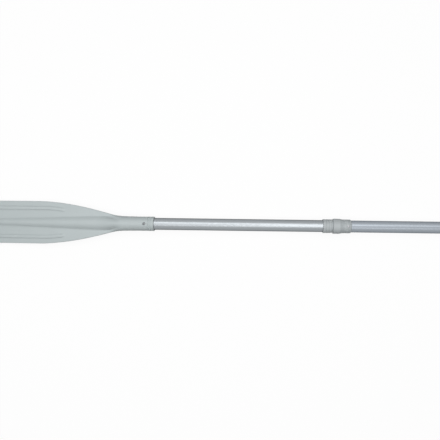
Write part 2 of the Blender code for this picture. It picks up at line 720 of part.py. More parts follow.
def make_stop():
    """A split clamp round the tube, with the flange that rests against the rowlock."""
    edge = STOP_EDGE
    outer = arc(edge, STOP_FLANGE_RADIUS - edge, edge, 180, 90, 2)
    outer += arc(STOP_FLANGE_WIDTH - edge, STOP_FLANGE_RADIUS - edge, edge, 90, 0, 2)
    outer.append((STOP_FLANGE_WIDTH, STOP_HUB_RADIUS + STOP_FILLET))
    outer.append((STOP_FLANGE_WIDTH + STOP_FILLET, STOP_HUB_RADIUS))
    outer += arc(STOP_LENGTH - edge, STOP_HUB_RADIUS - edge, edge, 90, 0, 2)
    bore = [(0.0, SLEEVE_BORE), (STOP_LENGTH, SLEEVE_BORE)]
    stop = turned("oar_stop", hollow(outer, bore), STOP_FACE_X, STOP_PLASTIC)
    boolean(stop, make_stop_ears(), "UNION")
    slit = STOP_SLIT_HALF_WIDTH
    low = (STOP_FACE_X - CUT_PAST, TUBE_BORE, -slit)
    high = (STOP_FACE_X + STOP_LENGTH + CUT_PAST, STOP_EAR_REACH + CUT_PAST, slit)
    boolean(stop, box("stop_slit", low, high), "DIFFERENCE")
    outside = STOP_EAR_HALF_HEIGHT + CUT_PAST
    hole_radius = SCREW_RADIUS + FIT
    hole = hole_cutter("stop_screw_hole", SCREW_X, SCREW_FROM_AXIS, hole_radius, -outside, outside)
    boolean(stop, hole, "DIFFERENCE")
    return applied(stop)


def make_nut():
    """A plain hexagon nut under the lower ear."""
    corner_radius = NUT_ACROSS_FLATS / math.sqrt(3) * MM
    middle = -STOP_EAR_HALF_HEIGHT - FIT - NUT_HEIGHT / 2
    mesh = bpy.data.meshes.new("stop_nut")
    shape = bmesh.new()
    size = {"radius1": corner_radius, "radius2": corner_radius, "depth": NUT_HEIGHT * MM}
    bmesh.ops.create_cone(shape, cap_ends=True, segments=6, **size)
    shape.to_mesh(mesh)
    shape.free()
    place = (SCREW_X * MM, SCREW_FROM_AXIS * MM, (AXIS_Z + middle) * MM)
    nut = add_object("stop_nut", mesh, SCREW_STEEL, OAR, place)
    rim = nut.modifiers.new("rim", "BEVEL")
    rim.width = NUT_EDGE * MM
    rim.segments = 1
    hole_radius = SCREW_RADIUS + FIT
    low, high = middle - NUT_HEIGHT, middle + NUT_HEIGHT
    boolean(nut, hole_cutter("nut_hole", SCREW_X, SCREW_FROM_AXIS, hole_radius, low, high), "DIFFERENCE")
    return applied(nut)


def make_washer():
    low = STOP_EAR_HALF_HEIGHT + FIT
    high = low + WASHER_THICKNESS
    bore = SCREW_RADIUS + FIT
    points = [(WASHER_RADIUS, high), (WASHER_RADIUS, low), (bore, low), (bore, high)]
    return upright("stop_washer", points, SCREW_X, SCREW_FROM_AXIS, SCREW_STEEL)


def make_screw():
    """A pan-head screw, with the slot for a screwdriver or a coin."""
    seat = STOP_EAR_HALF_HEIGHT + 2 * FIT + WASHER_THICKNESS
    top, end, edge = seat + SCREW_HEAD_HEIGHT, seat - SCREW_LENGTH, SCREW_HEAD_EDGE
    crown = arc(SCREW_HEAD_RADIUS - edge, top - edge, edge, 90, 0, 4)
    points = [(0.0, top)] + crown + [(SCREW_HEAD_RADIUS, seat), (SCREW_RADIUS, seat)]
    points += [(SCREW_RADIUS, end + SCREW_END_CHAMFER), (SCREW_RADIUS - SCREW_END_CHAMFER, end), (0.0, end)]
    screw = upright("stop_screw", points, SCREW_X, SCREW_FROM_AXIS, SCREW_STEEL)
    half, reach = SCREW_SLOT_HALF_WIDTH, SCREW_HEAD_RADIUS + CUT_PAST
    low = (SCREW_X - reach, SCREW_FROM_AXIS - half, top - SCREW_SLOT_DEPTH)
    high = (SCREW_X + reach, SCREW_FROM_AXIS + half, top + CUT_PAST)
    boolean(screw, box("screw_slot", low, high), "DIFFERENCE")
    return applied(screw)


# Handle


def make_grip():
    """A rubber sleeve with a slight swell and ring grooves for the hand."""
    edge = GRIP_EDGE
    outer = arc(edge, GRIP_RADIUS - edge, edge, 180, 90, 2)
    for i in range(GRIP_GROOVES):
        share = i / (GRIP_GROOVES - 1)
        middle = mix(GRIP_GROOVE_MARGIN, GRIP_LENGTH - GRIP_GROOVE_MARGIN, share)
        for offset, depth in ((-GRIP_GROOVE_HALF, 0), (0, GRIP_GROOVE_DEPTH), (GRIP_GROOVE_HALF, 0)):
            along = middle + offset
            swell = GRIP_SWELL * math.sin(math.pi * along / GRIP_LENGTH)
            outer.append((along, GRIP_RADIUS + swell - depth))
    outer += arc(GRIP_LENGTH - edge, GRIP_RADIUS - edge, edge, 90, 0, 2)
    bore = [(0.0, SLEEVE_BORE), (GRIP_LENGTH, SLEEVE_BORE)]
    return turned("grip", hollow(outer, bore), GRIP_START_X, GRIP_RUBBER)


def make_end_cap():
    """The moulded cap that closes the handle, with a cup pressed into the tube."""
    inner = PLUG_RADIUS - CAP_PLUG_WALL
    floor = FIT - CAP_PLUG_WALL
    near, far = CAP_INNER_EDGE, CAP_OUTER_EDGE
    outer = [(-CAP_PLUG_LENGTH, PLUG_RADIUS - CAP_PLUG_CHAMFER)]
    outer += [(-CAP_PLUG_LENGTH + CAP_PLUG_CHAMFER, PLUG_RADIUS), (FIT, PLUG_RADIUS)]
    outer += arc(FIT + near, CAP_FLANGE_RADIUS - near, near, 180, 90, 2)
    outer += arc(CAP_FLANGE_WIDTH - far, CAP_FLANGE_RADIUS - far, far, 90, 0, 3)
    outer.append((CAP_FLANGE_WIDTH, 0.0))
    bore = [(-CAP_PLUG_LENGTH, inner), (floor, inner), (floor, 0.0)]
    return turned("end_cap", hollow(outer, bore), TUBE_END_X, GRIP_RUBBER)


# Moving groups


def axis_empty(name, x, parent=None):
    """The empty that carries a moving group, on its joint's axis."""
    empty = bpy.data.objects.new(name, None)
    OAR.objects.link(empty)
    empty.location = (x * MM, 0.0, AXIS_Z * MM)
    if parent:
        carry(parent, [empty])
    return empty


def carry(parent, pieces):
    """Parents the pieces and leaves them where they are."""
    bpy.context.view_layer.update()
    for piece in pieces:
        piece.parent = parent
        piece.matrix_parent_inverse = parent.matrix_world.inverted()


def build():
    recess_floor = SOCKET_RADIUS - BLADE_RECESS_DEPTH + FIT
    make_blade()
    make_rivet_pair("blade_rivet", BLADE_RIVET_X, recess_floor, BLADE_RIVET_HEAD_RADIUS, BLADE_RIVET_DOME)
    make_tube("lower_tube", LOWER_TUBE_START_X, JOINT_X + LOWER_TUBE_END, BLADE_RIVET_X)
    make_plug("lower_tube_plug", LOWER_TUBE_START_X + LOWER_PLUG_INSET)
    make_spigot()

    sleeve_seat = SLEEVE_RADIUS + FIT
    upper = make_rivet_pair(
        "coupler_rivet", SLEEVE_RIVET_X, sleeve_seat, SLEEVE_RIVET_HEAD_RADIUS, SLEEVE_RIVET_DOME
    )
    upper.append(make_tube("upper_tube", JOINT_X + UPPER_TUBE_START, TUBE_END_X, SLEEVE_RIVET_X))
    upper.append(make_plug("upper_tube_plug", JOINT_X + UPPER_PLUG_AT))
    upper += [make_coupler(), make_seal(), make_grip(), make_end_cap()]
    upper_axis = axis_empty("upper_half_axis", JOINT_X)
    carry(upper_axis, upper)

    ring_axis = axis_empty("lock_ring_axis", JOINT_X + LOCK_RING_BLADE_END, upper_axis)
    carry(ring_axis, [make_lock_ring()])

    stop_axis = axis_empty("oar_stop_axis", STOP_FACE_X, upper_axis)
    carry(stop_axis, [make_stop(), make_nut(), make_washer(), make_screw()])


build()
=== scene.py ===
# %% [markdown]
# # A take-apart rowing oar, dressed round its solids
#
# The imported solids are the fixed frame: they say where every piece of the oar is and how it
# moves. This lesson gives each piece the finer shape and the finish of the real one. The oar
# lies flat, X runs along its shaft from the blade to the handle, and Z is up.

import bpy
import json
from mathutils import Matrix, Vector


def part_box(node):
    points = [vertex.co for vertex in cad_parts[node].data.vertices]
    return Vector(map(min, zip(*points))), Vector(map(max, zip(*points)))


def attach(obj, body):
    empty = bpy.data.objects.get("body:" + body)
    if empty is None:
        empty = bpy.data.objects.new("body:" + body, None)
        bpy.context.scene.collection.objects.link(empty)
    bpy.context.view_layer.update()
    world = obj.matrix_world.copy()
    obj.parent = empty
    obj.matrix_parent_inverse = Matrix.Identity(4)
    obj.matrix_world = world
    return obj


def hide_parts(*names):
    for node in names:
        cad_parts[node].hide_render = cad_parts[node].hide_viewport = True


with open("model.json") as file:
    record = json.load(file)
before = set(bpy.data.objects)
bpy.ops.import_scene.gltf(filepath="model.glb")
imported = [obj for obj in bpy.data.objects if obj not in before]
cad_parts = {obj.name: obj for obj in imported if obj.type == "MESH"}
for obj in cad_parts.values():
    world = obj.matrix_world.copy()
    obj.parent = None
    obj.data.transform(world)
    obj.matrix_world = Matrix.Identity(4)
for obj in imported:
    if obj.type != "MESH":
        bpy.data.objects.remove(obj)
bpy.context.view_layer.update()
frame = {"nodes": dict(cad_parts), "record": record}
print("nodes:", ", ".join(sorted(frame["nodes"])))

# %% [markdown]
# Everything is measured in metres in Blender, but a maker thinks in millimetres, so sizes below
# are written in millimetres and multiplied by MM. The oar lies on the round flange of its stop,
# so the shaft's axis is half the flange's width above the floor.

# %% Units and the shaft's axis
import json
import math

import bmesh
import bpy
from mathutils import Vector

MM = 0.001
AXIS_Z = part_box("oar_stop")[1].z / 2
print(f"the shaft's axis is {AXIS_Z / MM:.1f} mm above the floor")

# %% [markdown]
# ## Camera
#
# The photograph looks straight down on the lying oar, of which it shows 1.3 m out of 2.1 m. The
# round mouths of the socket and of the ring show as slight arcs, so the camera wasn't far away.
# The two arcs bend about a line right of the picture's middle, nearer the middle of the whole
# oar: the picture is a cut from a wider one. So the camera stands over that line, and a shift of
# the lens brings the cut into the frame. The oar slopes down to the right by less than a degree.

# %% Camera
PHOTO_SIDE = 440
CAMERA_DISTANCE = 1.3
SENSOR_WIDTH = 36.0
PIXEL_SIZE = 2.96 * MM
PICTURE_CENTRE = (-248.5 * MM, 13.9 * MM)
PICTURE_TURN = math.radians(0.77)
CAMERA_ASIDE = 37 * PIXEL_SIZE


def in_scene(name, data):
    """A new object, linked into the scene."""
    obj = bpy.data.objects.new(name, data)
    bpy.context.scene.collection.objects.link(obj)
    return obj


camera_data = bpy.data.cameras.new("camera")
camera_data.sensor_width = SENSOR_WIDTH
camera_data.lens = SENSOR_WIDTH * CAMERA_DISTANCE / (PHOTO_SIDE * PIXEL_SIZE)
camera_data.shift_x = -CAMERA_ASIDE / (PHOTO_SIDE * PIXEL_SIZE)
camera = in_scene("camera", camera_data)
camera_x = PICTURE_CENTRE[0] + CAMERA_ASIDE * math.cos(PICTURE_TURN)
camera_y = PICTURE_CENTRE[1] + CAMERA_ASIDE * math.sin(PICTURE_TURN)
camera.location = (camera_x, camera_y, AXIS_Z + CAMERA_DISTANCE)
camera.rotation_euler = (0.0, 0.0, PICTURE_TURN)
bpy.context.scene.camera = camera
print(f"lens {camera_data.lens:.1f} mm, shift {camera_data.shift_x:.3f}")

# %% [markdown]
# ## Formulas as nodes
#
# Shapes and finishes below follow formulas. A Field stands for one output socket of a node
# tree, and arithmetic on it adds Math nodes. A formula then reads here as it would on paper,
# and Blender still gets an ordinary tree.


# %% Field: a number that varies over a shape
class Field:
    """One output socket of a node tree, which takes part in arithmetic."""

    def __init__(self, tree, socket):
        self.tree = tree
        self.socket = socket

    def __neg__(self):
        return self * -1.0


def plug(tree, value, socket):
    """Gives a socket its value: a link from a Field or a socket, or a plain number."""
    if isinstance(value, Field):
        tree.links.new(value.socket, socket)
    elif isinstance(value, bpy.types.NodeSocket):
        tree.links.new(value, socket)
    else:
        socket.default_value = value


def math_function(operation, swapped=False):
    """A function of Fields and plain numbers, which adds one Math node and gives its result."""

    def function(*values):
        tree = next(value.tree for value in values if isinstance(value, Field))
        node = tree.nodes.new("ShaderNodeMath")
        node.operation = operation
        for value, socket in zip(reversed(values) if swapped else values, node.inputs):
            plug(tree, value, socket)
        return Field(tree, node.outputs[0])

    return function


SIGNS = {"add": "ADD", "sub": "SUBTRACT", "mul": "MULTIPLY", "truediv": "DIVIDE"}
for sign, operation in SIGNS.items():
    setattr(Field, f"__{sign}__", math_function(operation))
    setattr(Field, f"__r{sign}__", math_function(operation, swapped=True))

above = math_function("GREATER_THAN")
most, least = math_function("MAXIMUM"), math_function("MINIMUM")
sine, cosine = math_function("SINE"), math_function("COSINE")
power, root = math_function("POWER"), math_function("SQRT")
whole, fraction = math_function("FLOOR"), math_function("FRACT")
magnitude = math_function("ABSOLUTE")


# %% Formulas that are used again and again
def ramp(value, low, high, start=0.0, end=1.0, smooth=False):
    """A number that goes from start to end while value goes from low to high, and stays there."""
    node = value.tree.nodes.new("ShaderNodeMapRange")
    node.interpolation_type = "SMOOTHSTEP" if smooth else "LINEAR"
    node.clamp = True
    for number, socket in zip((value, low, high, start, end), node.inputs):
        plug(value.tree, number, socket)
    return Field(value.tree, node.outputs[0])


def fade(value, low, high, smooth=False):
    """A number that falls from 1 to 0 while value goes from low to high."""
    return ramp(value, low, high, 1.0, 0.0, smooth)


def between(value, low, high, margin, smooth=False):
    """1 between low and high, rising and falling over a margin inside them."""
    return ramp(value, low, low + margin, smooth=smooth) * fade(value, high - margin, high, smooth)


def mix(start, end, share):
    return start + (end - start) * share


def smooth_most(a, b, softness):
    """The larger of two numbers, with the corner between them rounded."""
    gap = a - b
    return (a + b + root(gap * gap + softness * softness)) * 0.5


def broken_line(value, points, smooth=False):
    """The height of a line through (place, height) points."""
    height = points[0][1]
    for (place, level), (next_place, next_level) in zip(points, points[1:]):
        height = height + ramp(value, place, next_place, 0.0, next_level - level, smooth)
    return height


# %% [markdown]
# ## Node trees
#
# A ShapeTree is a Geometry Nodes tree with named inputs for its sizes. Each input is a socket
# on the modifier too, so that one tree can make several pieces. Every shape tree ends in
# Realize Instances and Set Material, and then the result is turned into a plain mesh. Shader
# trees are built with the same small helper, which sets a node's inputs by their names.


# %% A helper for any tree
SOCKET_KINDS = {float: "NodeSocketFloat", int: "NodeSocketInt", tuple: "NodeSocketColor"}


def plain(size_name):
    """The name that a socket shows for a keyword, such as Spine height for spine_height."""
    return size_name.replace("_", " ").capitalize()


class NodeBuilder:
    """Adds nodes to one tree."""

    def __init__(self, tree):
        self.tree = tree

    def node(self, kind, **values):
        """A node. Keywords in small letters are its settings, which come first, and the others
        are its inputs."""
        made = self.tree.nodes.new(kind)
        for key, value in values.items():
            if key.islower():
                setattr(made, key, value)
            else:
                name = key.replace("_", " ")
                plug(self.tree, value, next(s for s in made.inputs if s.enabled and s.name == name))
        return made

    def field(self, kind, **values):
        """The first output of such a node as a Field."""
        return Field(self.tree, self.node(kind, **values).outputs[0])

    def vector(self, x, y, z):
        return self.node("ShaderNodeCombineXYZ", X=x, Y=y, Z=z).outputs[0]

    def bump(self, height, distance, strength=1.0):
        return self.field("ShaderNodeBump", Strength=strength, Distance=distance, Height=height)

    def parts(self, vector):
        """The X, Y and Z of a vector as three Fields."""
        outputs = self.node("ShaderNodeSeparateXYZ", Vector=vector).outputs
        return [Field(self.tree, part) for part in outputs]

    def add_inputs(self, sizes):
        for size_name, value in sizes.items():
            kind = SOCKET_KINDS[type(value)]
            made = self.tree.interface.new_socket(plain(size_name), in_out="INPUT", socket_type=kind)
            made.default_value = value

    def size(self, size_name):
        return Field(self.tree, self.start.outputs[plain(size_name)])


# %% A helper for shapes
MERGE_DISTANCE = 0.001 * MM


class ShapeTree(NodeBuilder):
    """A Geometry Nodes tree. Its inputs are a start mesh, a finish and sizes."""

    def __init__(self, name, **sizes):
        super().__init__(bpy.data.node_groups.new(name, "GeometryNodeTree"))
        new_socket = self.tree.interface.new_socket
        new_socket("Geometry", in_out="INPUT", socket_type="NodeSocketGeometry")
        new_socket("Finish", in_out="INPUT", socket_type="NodeSocketMaterial")
        self.add_inputs(sizes)
        new_socket("Geometry", in_out="OUTPUT", socket_type="NodeSocketGeometry")
        self.start = self.node("NodeGroupInput")
        self.end = self.node("NodeGroupOutput")

    def geometry(self, kind, **values):
        return self.node(kind, **values).outputs[0]

    def grid(self, rows, columns):
        """A flat grid, and the row and column of each of its points."""
        flat = self.geometry("GeometryNodeMeshGrid", Vertices_X=rows, Vertices_Y=columns)
        index = self.field("GeometryNodeInputIndex")
        row = whole((index + 0.5) / columns)
        return flat, row, index - row * columns

    def moved(self, geometry, position):
        """The geometry with its points moved, and merged where they meet."""
        moved = self.geometry("GeometryNodeSetPosition", Geometry=geometry, Position=position)
        return self.geometry("GeometryNodeMergeByDistance", Geometry=moved, Distance=MERGE_DISTANCE)

    def placed(self, geometry, place, turn=(0.0, 0.0, 0.0)):
        return self.geometry("GeometryNodeTransform", Geometry=geometry, Translation=place, Rotation=turn)

    def remembered(self, geometry, attribute, value):
        return self.geometry("GeometryNodeStoreNamedAttribute", data_type="FLOAT", domain="POINT",
                             Geometry=geometry, Name=attribute, Value=value)

    def gathered(self, node, socket, geometries):
        """What a node makes of all the geometries that go into one of its sockets."""
        for geometry in geometries:
            self.tree.links.new(geometry, node.inputs[socket])
        return node.outputs[0]

    def joined(self, *geometries):
        return self.gathered(self.node("GeometryNodeJoinGeometry"), "Geometry", geometries)

    def united(self, *geometries):
        node = self.node("GeometryNodeMeshBoolean", operation="UNION", solver="EXACT")
        return self.gathered(node, "Mesh 2", geometries)

    def cut(self, geometry, *cutters):
        settings = {"operation": "DIFFERENCE", "solver": "EXACT"}
        node = self.node("GeometryNodeMeshBoolean", **settings, Mesh_1=geometry)
        return self.gathered(node, "Mesh 2", cutters)

    def box(self, size, place, turn=(0.0, 0.0, 0.0)):
        return self.placed(self.geometry("GeometryNodeMeshCube", Size=size), place, turn)

    def upright_drill(self, radius, place, depth, steps=32):
        drill = self.geometry("GeometryNodeMeshCylinder", Vertices=steps, Radius=radius, Depth=depth)
        return self.placed(drill, place)

    def finished(self, geometry):
        """Ends the tree: instances become mesh, and the finish is set."""
        real = self.geometry("GeometryNodeRealizeInstances", Geometry=geometry)
        finish = self.start.outputs["Finish"]
        painted = self.geometry("GeometryNodeSetMaterial", Geometry=real, Material=finish)
        self.tree.links.new(painted, self.end.inputs[0])
        return self


# %% From a tree to a finished piece
def drop_bare_edges(mesh):
    """Takes away edges with no face, which a profile leaves where it runs along the axis."""
    work = bmesh.new()
    work.from_mesh(mesh)
    bare = [edge for edge in work.edges if not edge.link_faces]
    bmesh.ops.delete(work, geom=bare, context="EDGES")
    work.to_mesh(mesh)
    work.free()


def plain_mesh(obj, sharp=35):
    """Makes an object's modifiers into its mesh, shaded smooth up to the sharp angle."""
    bpy.context.view_layer.update()
    graph = bpy.context.evaluated_depsgraph_get()
    mesh = bpy.data.meshes.new_from_object(obj.evaluated_get(graph), depsgraph=graph)
    obj.modifiers.clear()
    obj.data = mesh
    mesh.name = obj.name
    drop_bare_edges(mesh)
    mesh.shade_smooth()
    mesh.set_sharp_from_angle(angle=math.radians(sharp))
    return obj


def one_finish(obj, finish):
    """Leaves the piece one material slot, with its finish."""
    obj.data.materials.clear()
    obj.data.materials.append(finish)
    return obj


def shape_piece(name, shape, finish, start_mesh=None, **sizes):
    """Runs a tree on a start mesh and keeps the result as a plain mesh."""
    obj = in_scene(name, start_mesh or bpy.data.meshes.new(name))
    modifier = obj.modifiers.new(name, "NODES")
    modifier.node_group = shape.tree
    values = {plain(size_name): value for size_name, value in sizes.items()}
    values["Finish"] = finish
    for item in shape.tree.interface.items_tree:
        if item.in_out == "INPUT" and item.name in values:
            modifier[item.identifier] = values.pop(item.name)
    assert not values, f"{name}: no inputs named {list(values)}"
    return one_finish(plain_mesh(obj), finish)


RECORD = frame["record"]
BODIES = {node: body for body, nodes in RECORD["behaviour"]["bodies"].items() for node in nodes}


def join_frame(obj, *nodes):
    """Puts a finished piece in the place of CAD nodes, on their body, and says what it measures."""
    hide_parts(*nodes)
    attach(obj, BODIES[nodes[0]])
    obj.data.calc_loop_triangles()
    points = [vertex.co for vertex in obj.data.vertices]
    low = [min(point[axis] for point in points) / MM for axis in range(3)]
    high = [max(point[axis] for point in points) / MM for axis in range(3)]
    size = " x ".join(f"{b - a:.1f}" for a, b in zip(low, high))
    print(f"{obj.name}: {len(obj.data.loop_triangles)} triangles, {size} mm, from x {low[0]:.1f}")


# %% [markdown]
# ## Shared effects
#
# Moulded plastic, drawn metal and rubber differ in colour and gloss, but they show the same
# few things: faint clouds in the colour, fine grain in the surface, lines along the direction
# in which the piece was drawn or handled, and wear on edges. Each of these is one shader group
# with named inputs, and every finish below picks the ones that it needs. All of them read
# Object coordinates, which are metres here, so a size means the same everywhere. The plastics
# also take painted shade in the corners that the blade's tree marks.


# %% A helper for shared effects
class EffectGroup(NodeBuilder):
    """A shader node group with named inputs and one named output."""

    def __init__(self, name, output, output_kind, **inputs):
        super().__init__(bpy.data.node_groups.new(name, "ShaderNodeTree"))
        self.add_inputs(inputs)
        self.tree.interface.new_socket(output, in_out="OUTPUT", socket_type=output_kind)
        self.start = self.node("NodeGroupInput")
        self.end = self.node("NodeGroupOutput")
        self.place = self.node("ShaderNodeTexCoord").outputs["Object"]

    def stretched(self, x_size, y_size, z_size):
        """The place on the object, with each axis counted in its own size."""
        x, y, z = self.parts(self.place)
        return self.vector(x / x_size, y / y_size, z / z_size)

    def noise(self, place, detail=2.0, roughness=0.5):
        return self.field("ShaderNodeTexNoise", Vector=place, Scale=1.0, Detail=detail, Roughness=roughness)

    def gives(self, value):
        plug(self.tree, value, self.end.inputs[0])
        return self


# %% The shared effects
def cloud_group():
    """A colour that is a little lighter and darker in patches."""
    inputs = {"colour": (0.5, 0.5, 0.5, 1.0), "amount": 0.05, "patch_size": 0.05}
    group = EffectGroup("colour clouds", "Colour", "NodeSocketColor", **inputs)
    patch, base = group.size("patch_size"), group.size("colour")
    cloud = group.noise(group.stretched(patch, patch, patch), detail=4.0)
    level = 1.0 + (cloud - 0.5) * 2.0 * group.size("amount")
    return group.gives(group.field("ShaderNodeVectorMath", operation="SCALE", Vector=base, Scale=level))


def line_group():
    """Fine lines along the shaft, from 0 to 1."""
    inputs = {"line_width": 0.0006, "line_length": 0.2}
    group = EffectGroup("lines along the shaft", "Lines", "NodeSocketFloat", **inputs)
    width, length = group.size("line_width"), group.size("line_length")
    return group.gives(group.noise(group.stretched(length, width, width), detail=3.0, roughness=0.6))


def grain_group():
    """The bump of a moulded or rubbery surface. Grain size and depth are in metres."""
    group = EffectGroup("surface grain", "Normal", "NodeSocketVector", grain_size=0.0006, depth=0.00002)
    fine = group.size("grain_size")
    coarse = fine * 9.0
    grain = group.noise(group.stretched(fine, fine, fine), detail=3.0)
    grain = grain + group.noise(group.stretched(coarse, coarse, coarse)) * 0.6
    return group.gives(group.bump(grain, group.size("depth")))


def wear_group():
    """Where an edge is rubbed, from 0 to 1. Edge is 1 on the edge and 0 away from it."""
    group = EffectGroup("rubbed edges", "Mask", "NodeSocketFloat", edge=0.0, patch_size=0.006, reach=0.5)
    patch = group.size("patch_size")
    rub = group.noise(group.stretched(patch * 2.0, patch, patch), detail=5.0, roughness=0.65)
    mask = ramp(group.size("edge") * group.size("reach") + rub - 0.5, 0.18, 0.42, smooth=True)
    return group.gives(mask)


def scratch_group():
    """Thin scratches that run mostly along the shaft, from 0 to 1."""
    group = EffectGroup("scratches", "Mask", "NodeSocketFloat", scratch_length=0.03, amount=0.5)
    length, spacing = group.size("scratch_length"), 0.0011
    bent = group.noise(group.stretched(length, length * 0.4, length * 0.4), detail=1.0)
    x, y, z = group.parts(group.place)
    place = group.vector(x / length + bent, y / spacing + bent * 6.0, z / spacing)
    thin = fade(magnitude(group.noise(place, detail=1.0) - 0.5), 0.0, 0.012)
    here = ramp(bent, 0.5, 0.62, smooth=True)
    return group.gives(thin * here * group.size("amount"))


CLOUDS, LINES, GRAIN = cloud_group(), line_group(), grain_group()
WEAR, SCRATCHES = wear_group(), scratch_group()
EFFECTS = (CLOUDS, LINES, GRAIN, WEAR, SCRATCHES)
print("shader groups:", ", ".join(group.tree.name for group in EFFECTS))

# %% [markdown]
# ## Finishes
#
# A Finish is one material: a Principled shader, and the effects that feed its colour, its
# roughness and its normal. Values that are the same all over stay on the shader's own sockets.


# %% The Finish helper
FINISHES = []


class Finish(NodeBuilder):
    def __init__(self, name, **sockets):
        FINISHES.append(self)
        self.material = bpy.data.materials.new(name)
        self.material.use_nodes = True
        super().__init__(self.material.node_tree)
        self.shader = self.tree.nodes["Principled BSDF"]
        for socket_name, value in sockets.items():
            self.give(socket_name.replace("_", " "), value)

    def give(self, socket_name, value):
        plug(self.tree, value, self.shader.inputs[socket_name])

    def effect(self, group, **inputs):
        """One of the shared effects, as a Field."""
        values = {plain(size_name): value for size_name, value in inputs.items()}
        return self.field("ShaderNodeGroup", node_tree=group.tree, **values)

    def attribute(self, name):
        """A number that the mesh remembers at each point, such as edge_wear."""
        return Field(self.tree, self.node("ShaderNodeAttribute", attribute_name=name).outputs["Fac"])

    def worn(self, **inputs):
        """Where the piece's proud edges are rubbed."""
        return self.effect(WEAR, edge=self.attribute("edge_wear"), **inputs)

    def blended(self, base, other, share):
        """One colour going over into another."""
        return self.node("ShaderNodeMix", data_type="RGBA", Factor=share, A=base, B=other).outputs[2]

    def complete(self, base_colour, roughness, normal):
        """Connects what the effects give to the shader."""
        self.give("Base Color", base_colour)
        self.give("Roughness", roughness)
        self.give("Normal", normal)
        return self.material


def colour(red, green, blue, share=1.0):
    """A colour for a socket, or a share of its light."""
    return (red * share, green * share, blue * share, 1.0)


# %% [markdown]
# The blade, the joint and the stop are moulded plastic. Their surface has a fine matt grain,
# faint clouds where the plastic cooled unevenly, and pale rubbed patches on what stands proud.
# The blade is pale grey with a little green, and shade is painted along the feet of its spine and ribs.


# %% Moulded plastics
def moulded_plastic(name, base, rubbed, roughness, clouds, patch_size, grain_size, depth):
    finish = Finish(name, Specular_IOR_Level=0.35)
    clouded = finish.effect(CLOUDS, colour=colour(*base), amount=clouds, patch_size=patch_size)
    # Painted shade: the colour goes darker where the blade marks the feet of its spine and ribs.
    crease_shaded = finish.blended(clouded, colour(*base, share=0.62), finish.attribute("crease") * 0.3)
    marks = most(finish.worn() * 0.55, finish.effect(SCRATCHES, amount=0.5))
    streaks = finish.effect(LINES, line_width=0.004, line_length=0.25)
    return finish.complete(
        finish.blended(crease_shaded, colour(*rubbed), marks * 0.6),
        roughness + (streaks - 0.5) * 0.12 + marks * 0.1,
        finish.effect(GRAIN, grain_size=grain_size, depth=depth),
    )


BLADE_PLASTIC = moulded_plastic(
    "matt_blade", (0.441, 0.489, 0.495), rubbed=(0.60, 0.64, 0.63), roughness=0.46,
    clouds=0.035, patch_size=0.06, grain_size=0.0007, depth=0.00003,
)
JOINT_PLASTIC = moulded_plastic(
    "satin_joint", (0.366, 0.397, 0.408), rubbed=(0.54, 0.57, 0.58), roughness=0.44,
    clouds=0.05, patch_size=0.012, grain_size=0.0006, depth=0.00003,
)
STOP_PLASTIC = moulded_plastic(
    "black_stop", (0.055, 0.06, 0.064), rubbed=(0.16, 0.165, 0.17), roughness=0.48,
    clouds=0.12, patch_size=0.02, grain_size=0.0006, depth=0.00005,
)
SPIGOT_PLASTIC = moulded_plastic(
    "smooth_spigot", (0.07, 0.07, 0.08), rubbed=(0.2, 0.2, 0.21), roughness=0.36,
    clouds=0.1, patch_size=0.015, grain_size=0.0008, depth=0.00002,
)

# %% [markdown]
# The tubes are anodised aluminium. Drawing the tube leaves faint lines along it, the satin
# finish spreads reflections out, and years of hands and rowlocks leave a few dull, fine
# scratches. The rivets and the clamp screw are bare metal, so they get the same recipe with
# other values.


# %% Metals
def drawn_metal(name, base, roughness, line_depth=0.000004, scratches=0.3, clouds=0.04, metallic=1.0):
    finish = Finish(name, Metallic=metallic, Specular_Tint=colour(0.0, 0.0, 0.0), Specular_IOR_Level=0.0)
    clouded = finish.effect(CLOUDS, colour=colour(*base), amount=clouds, patch_size=0.035)
    lines = finish.effect(LINES, line_width=0.0009, line_length=0.3)
    scratched = finish.effect(SCRATCHES, amount=scratches)
    worn = finish.worn(patch_size=0.003)
    return finish.complete(
        finish.blended(clouded, colour(*base, share=1.35), worn * 0.7 + scratched * 0.5),
        roughness + (lines - 0.5) * 0.16 - worn * 0.08 + scratched * 0.12,
        finish.bump(lines, line_depth),
    )


TUBE = {"line_depth": 0.000006, "scratches": 0.5, "metallic": 0.92}
LOWER_TUBE_METAL = drawn_metal("satin_anodised", (0.255, 0.272, 0.285), roughness=0.48, **TUBE)
UPPER_TUBE_METAL = drawn_metal("bluish_anodised", (0.243, 0.266, 0.292), roughness=0.6, **TUBE)
RIVET_METAL = drawn_metal("satin_rivet", (0.28, 0.285, 0.295), roughness=0.5, clouds=0.08)
# Painted shade: the blade's rivets get a darker copy of the rivet metal, partly their own darker metal and
# partly the shade of the recesses they sit in.
SHADED_RIVET_METAL = drawn_metal("dark_rivet", (0.12, 0.125, 0.13), roughness=0.45, clouds=0.1)
SCREW_STEEL = drawn_metal("stainless_steel", (0.6, 0.6, 0.6), roughness=0.28, scratches=0.4, clouds=0.05)

# %% [markdown]
# The grip and the end cap are black rubber, matt and a little dusty, and paler where a hand
# has polished them. The seal is smooth rubber with a trace of grease. The plugs in the tubes
# are foam, whose cut cells show as small round pits, with shade painted into each pit.


# %% Rubber and foam
def handled_rubber(name, base, dusty, roughness, grain_size, depth):
    finish = Finish(name)
    clouded = finish.effect(CLOUDS, colour=colour(*base), amount=0.25, patch_size=0.02)
    dust = finish.effect(LINES, line_width=0.012, line_length=0.03)
    share = ramp(dust, 0.45, 0.75, smooth=True) * 0.35 + finish.worn(patch_size=0.004) * 0.3
    grain = finish.effect(GRAIN, grain_size=grain_size, depth=depth)
    blended = finish.blended(clouded, colour(*dusty), share)
    return finish.complete(blended, roughness + share * 0.15, grain)


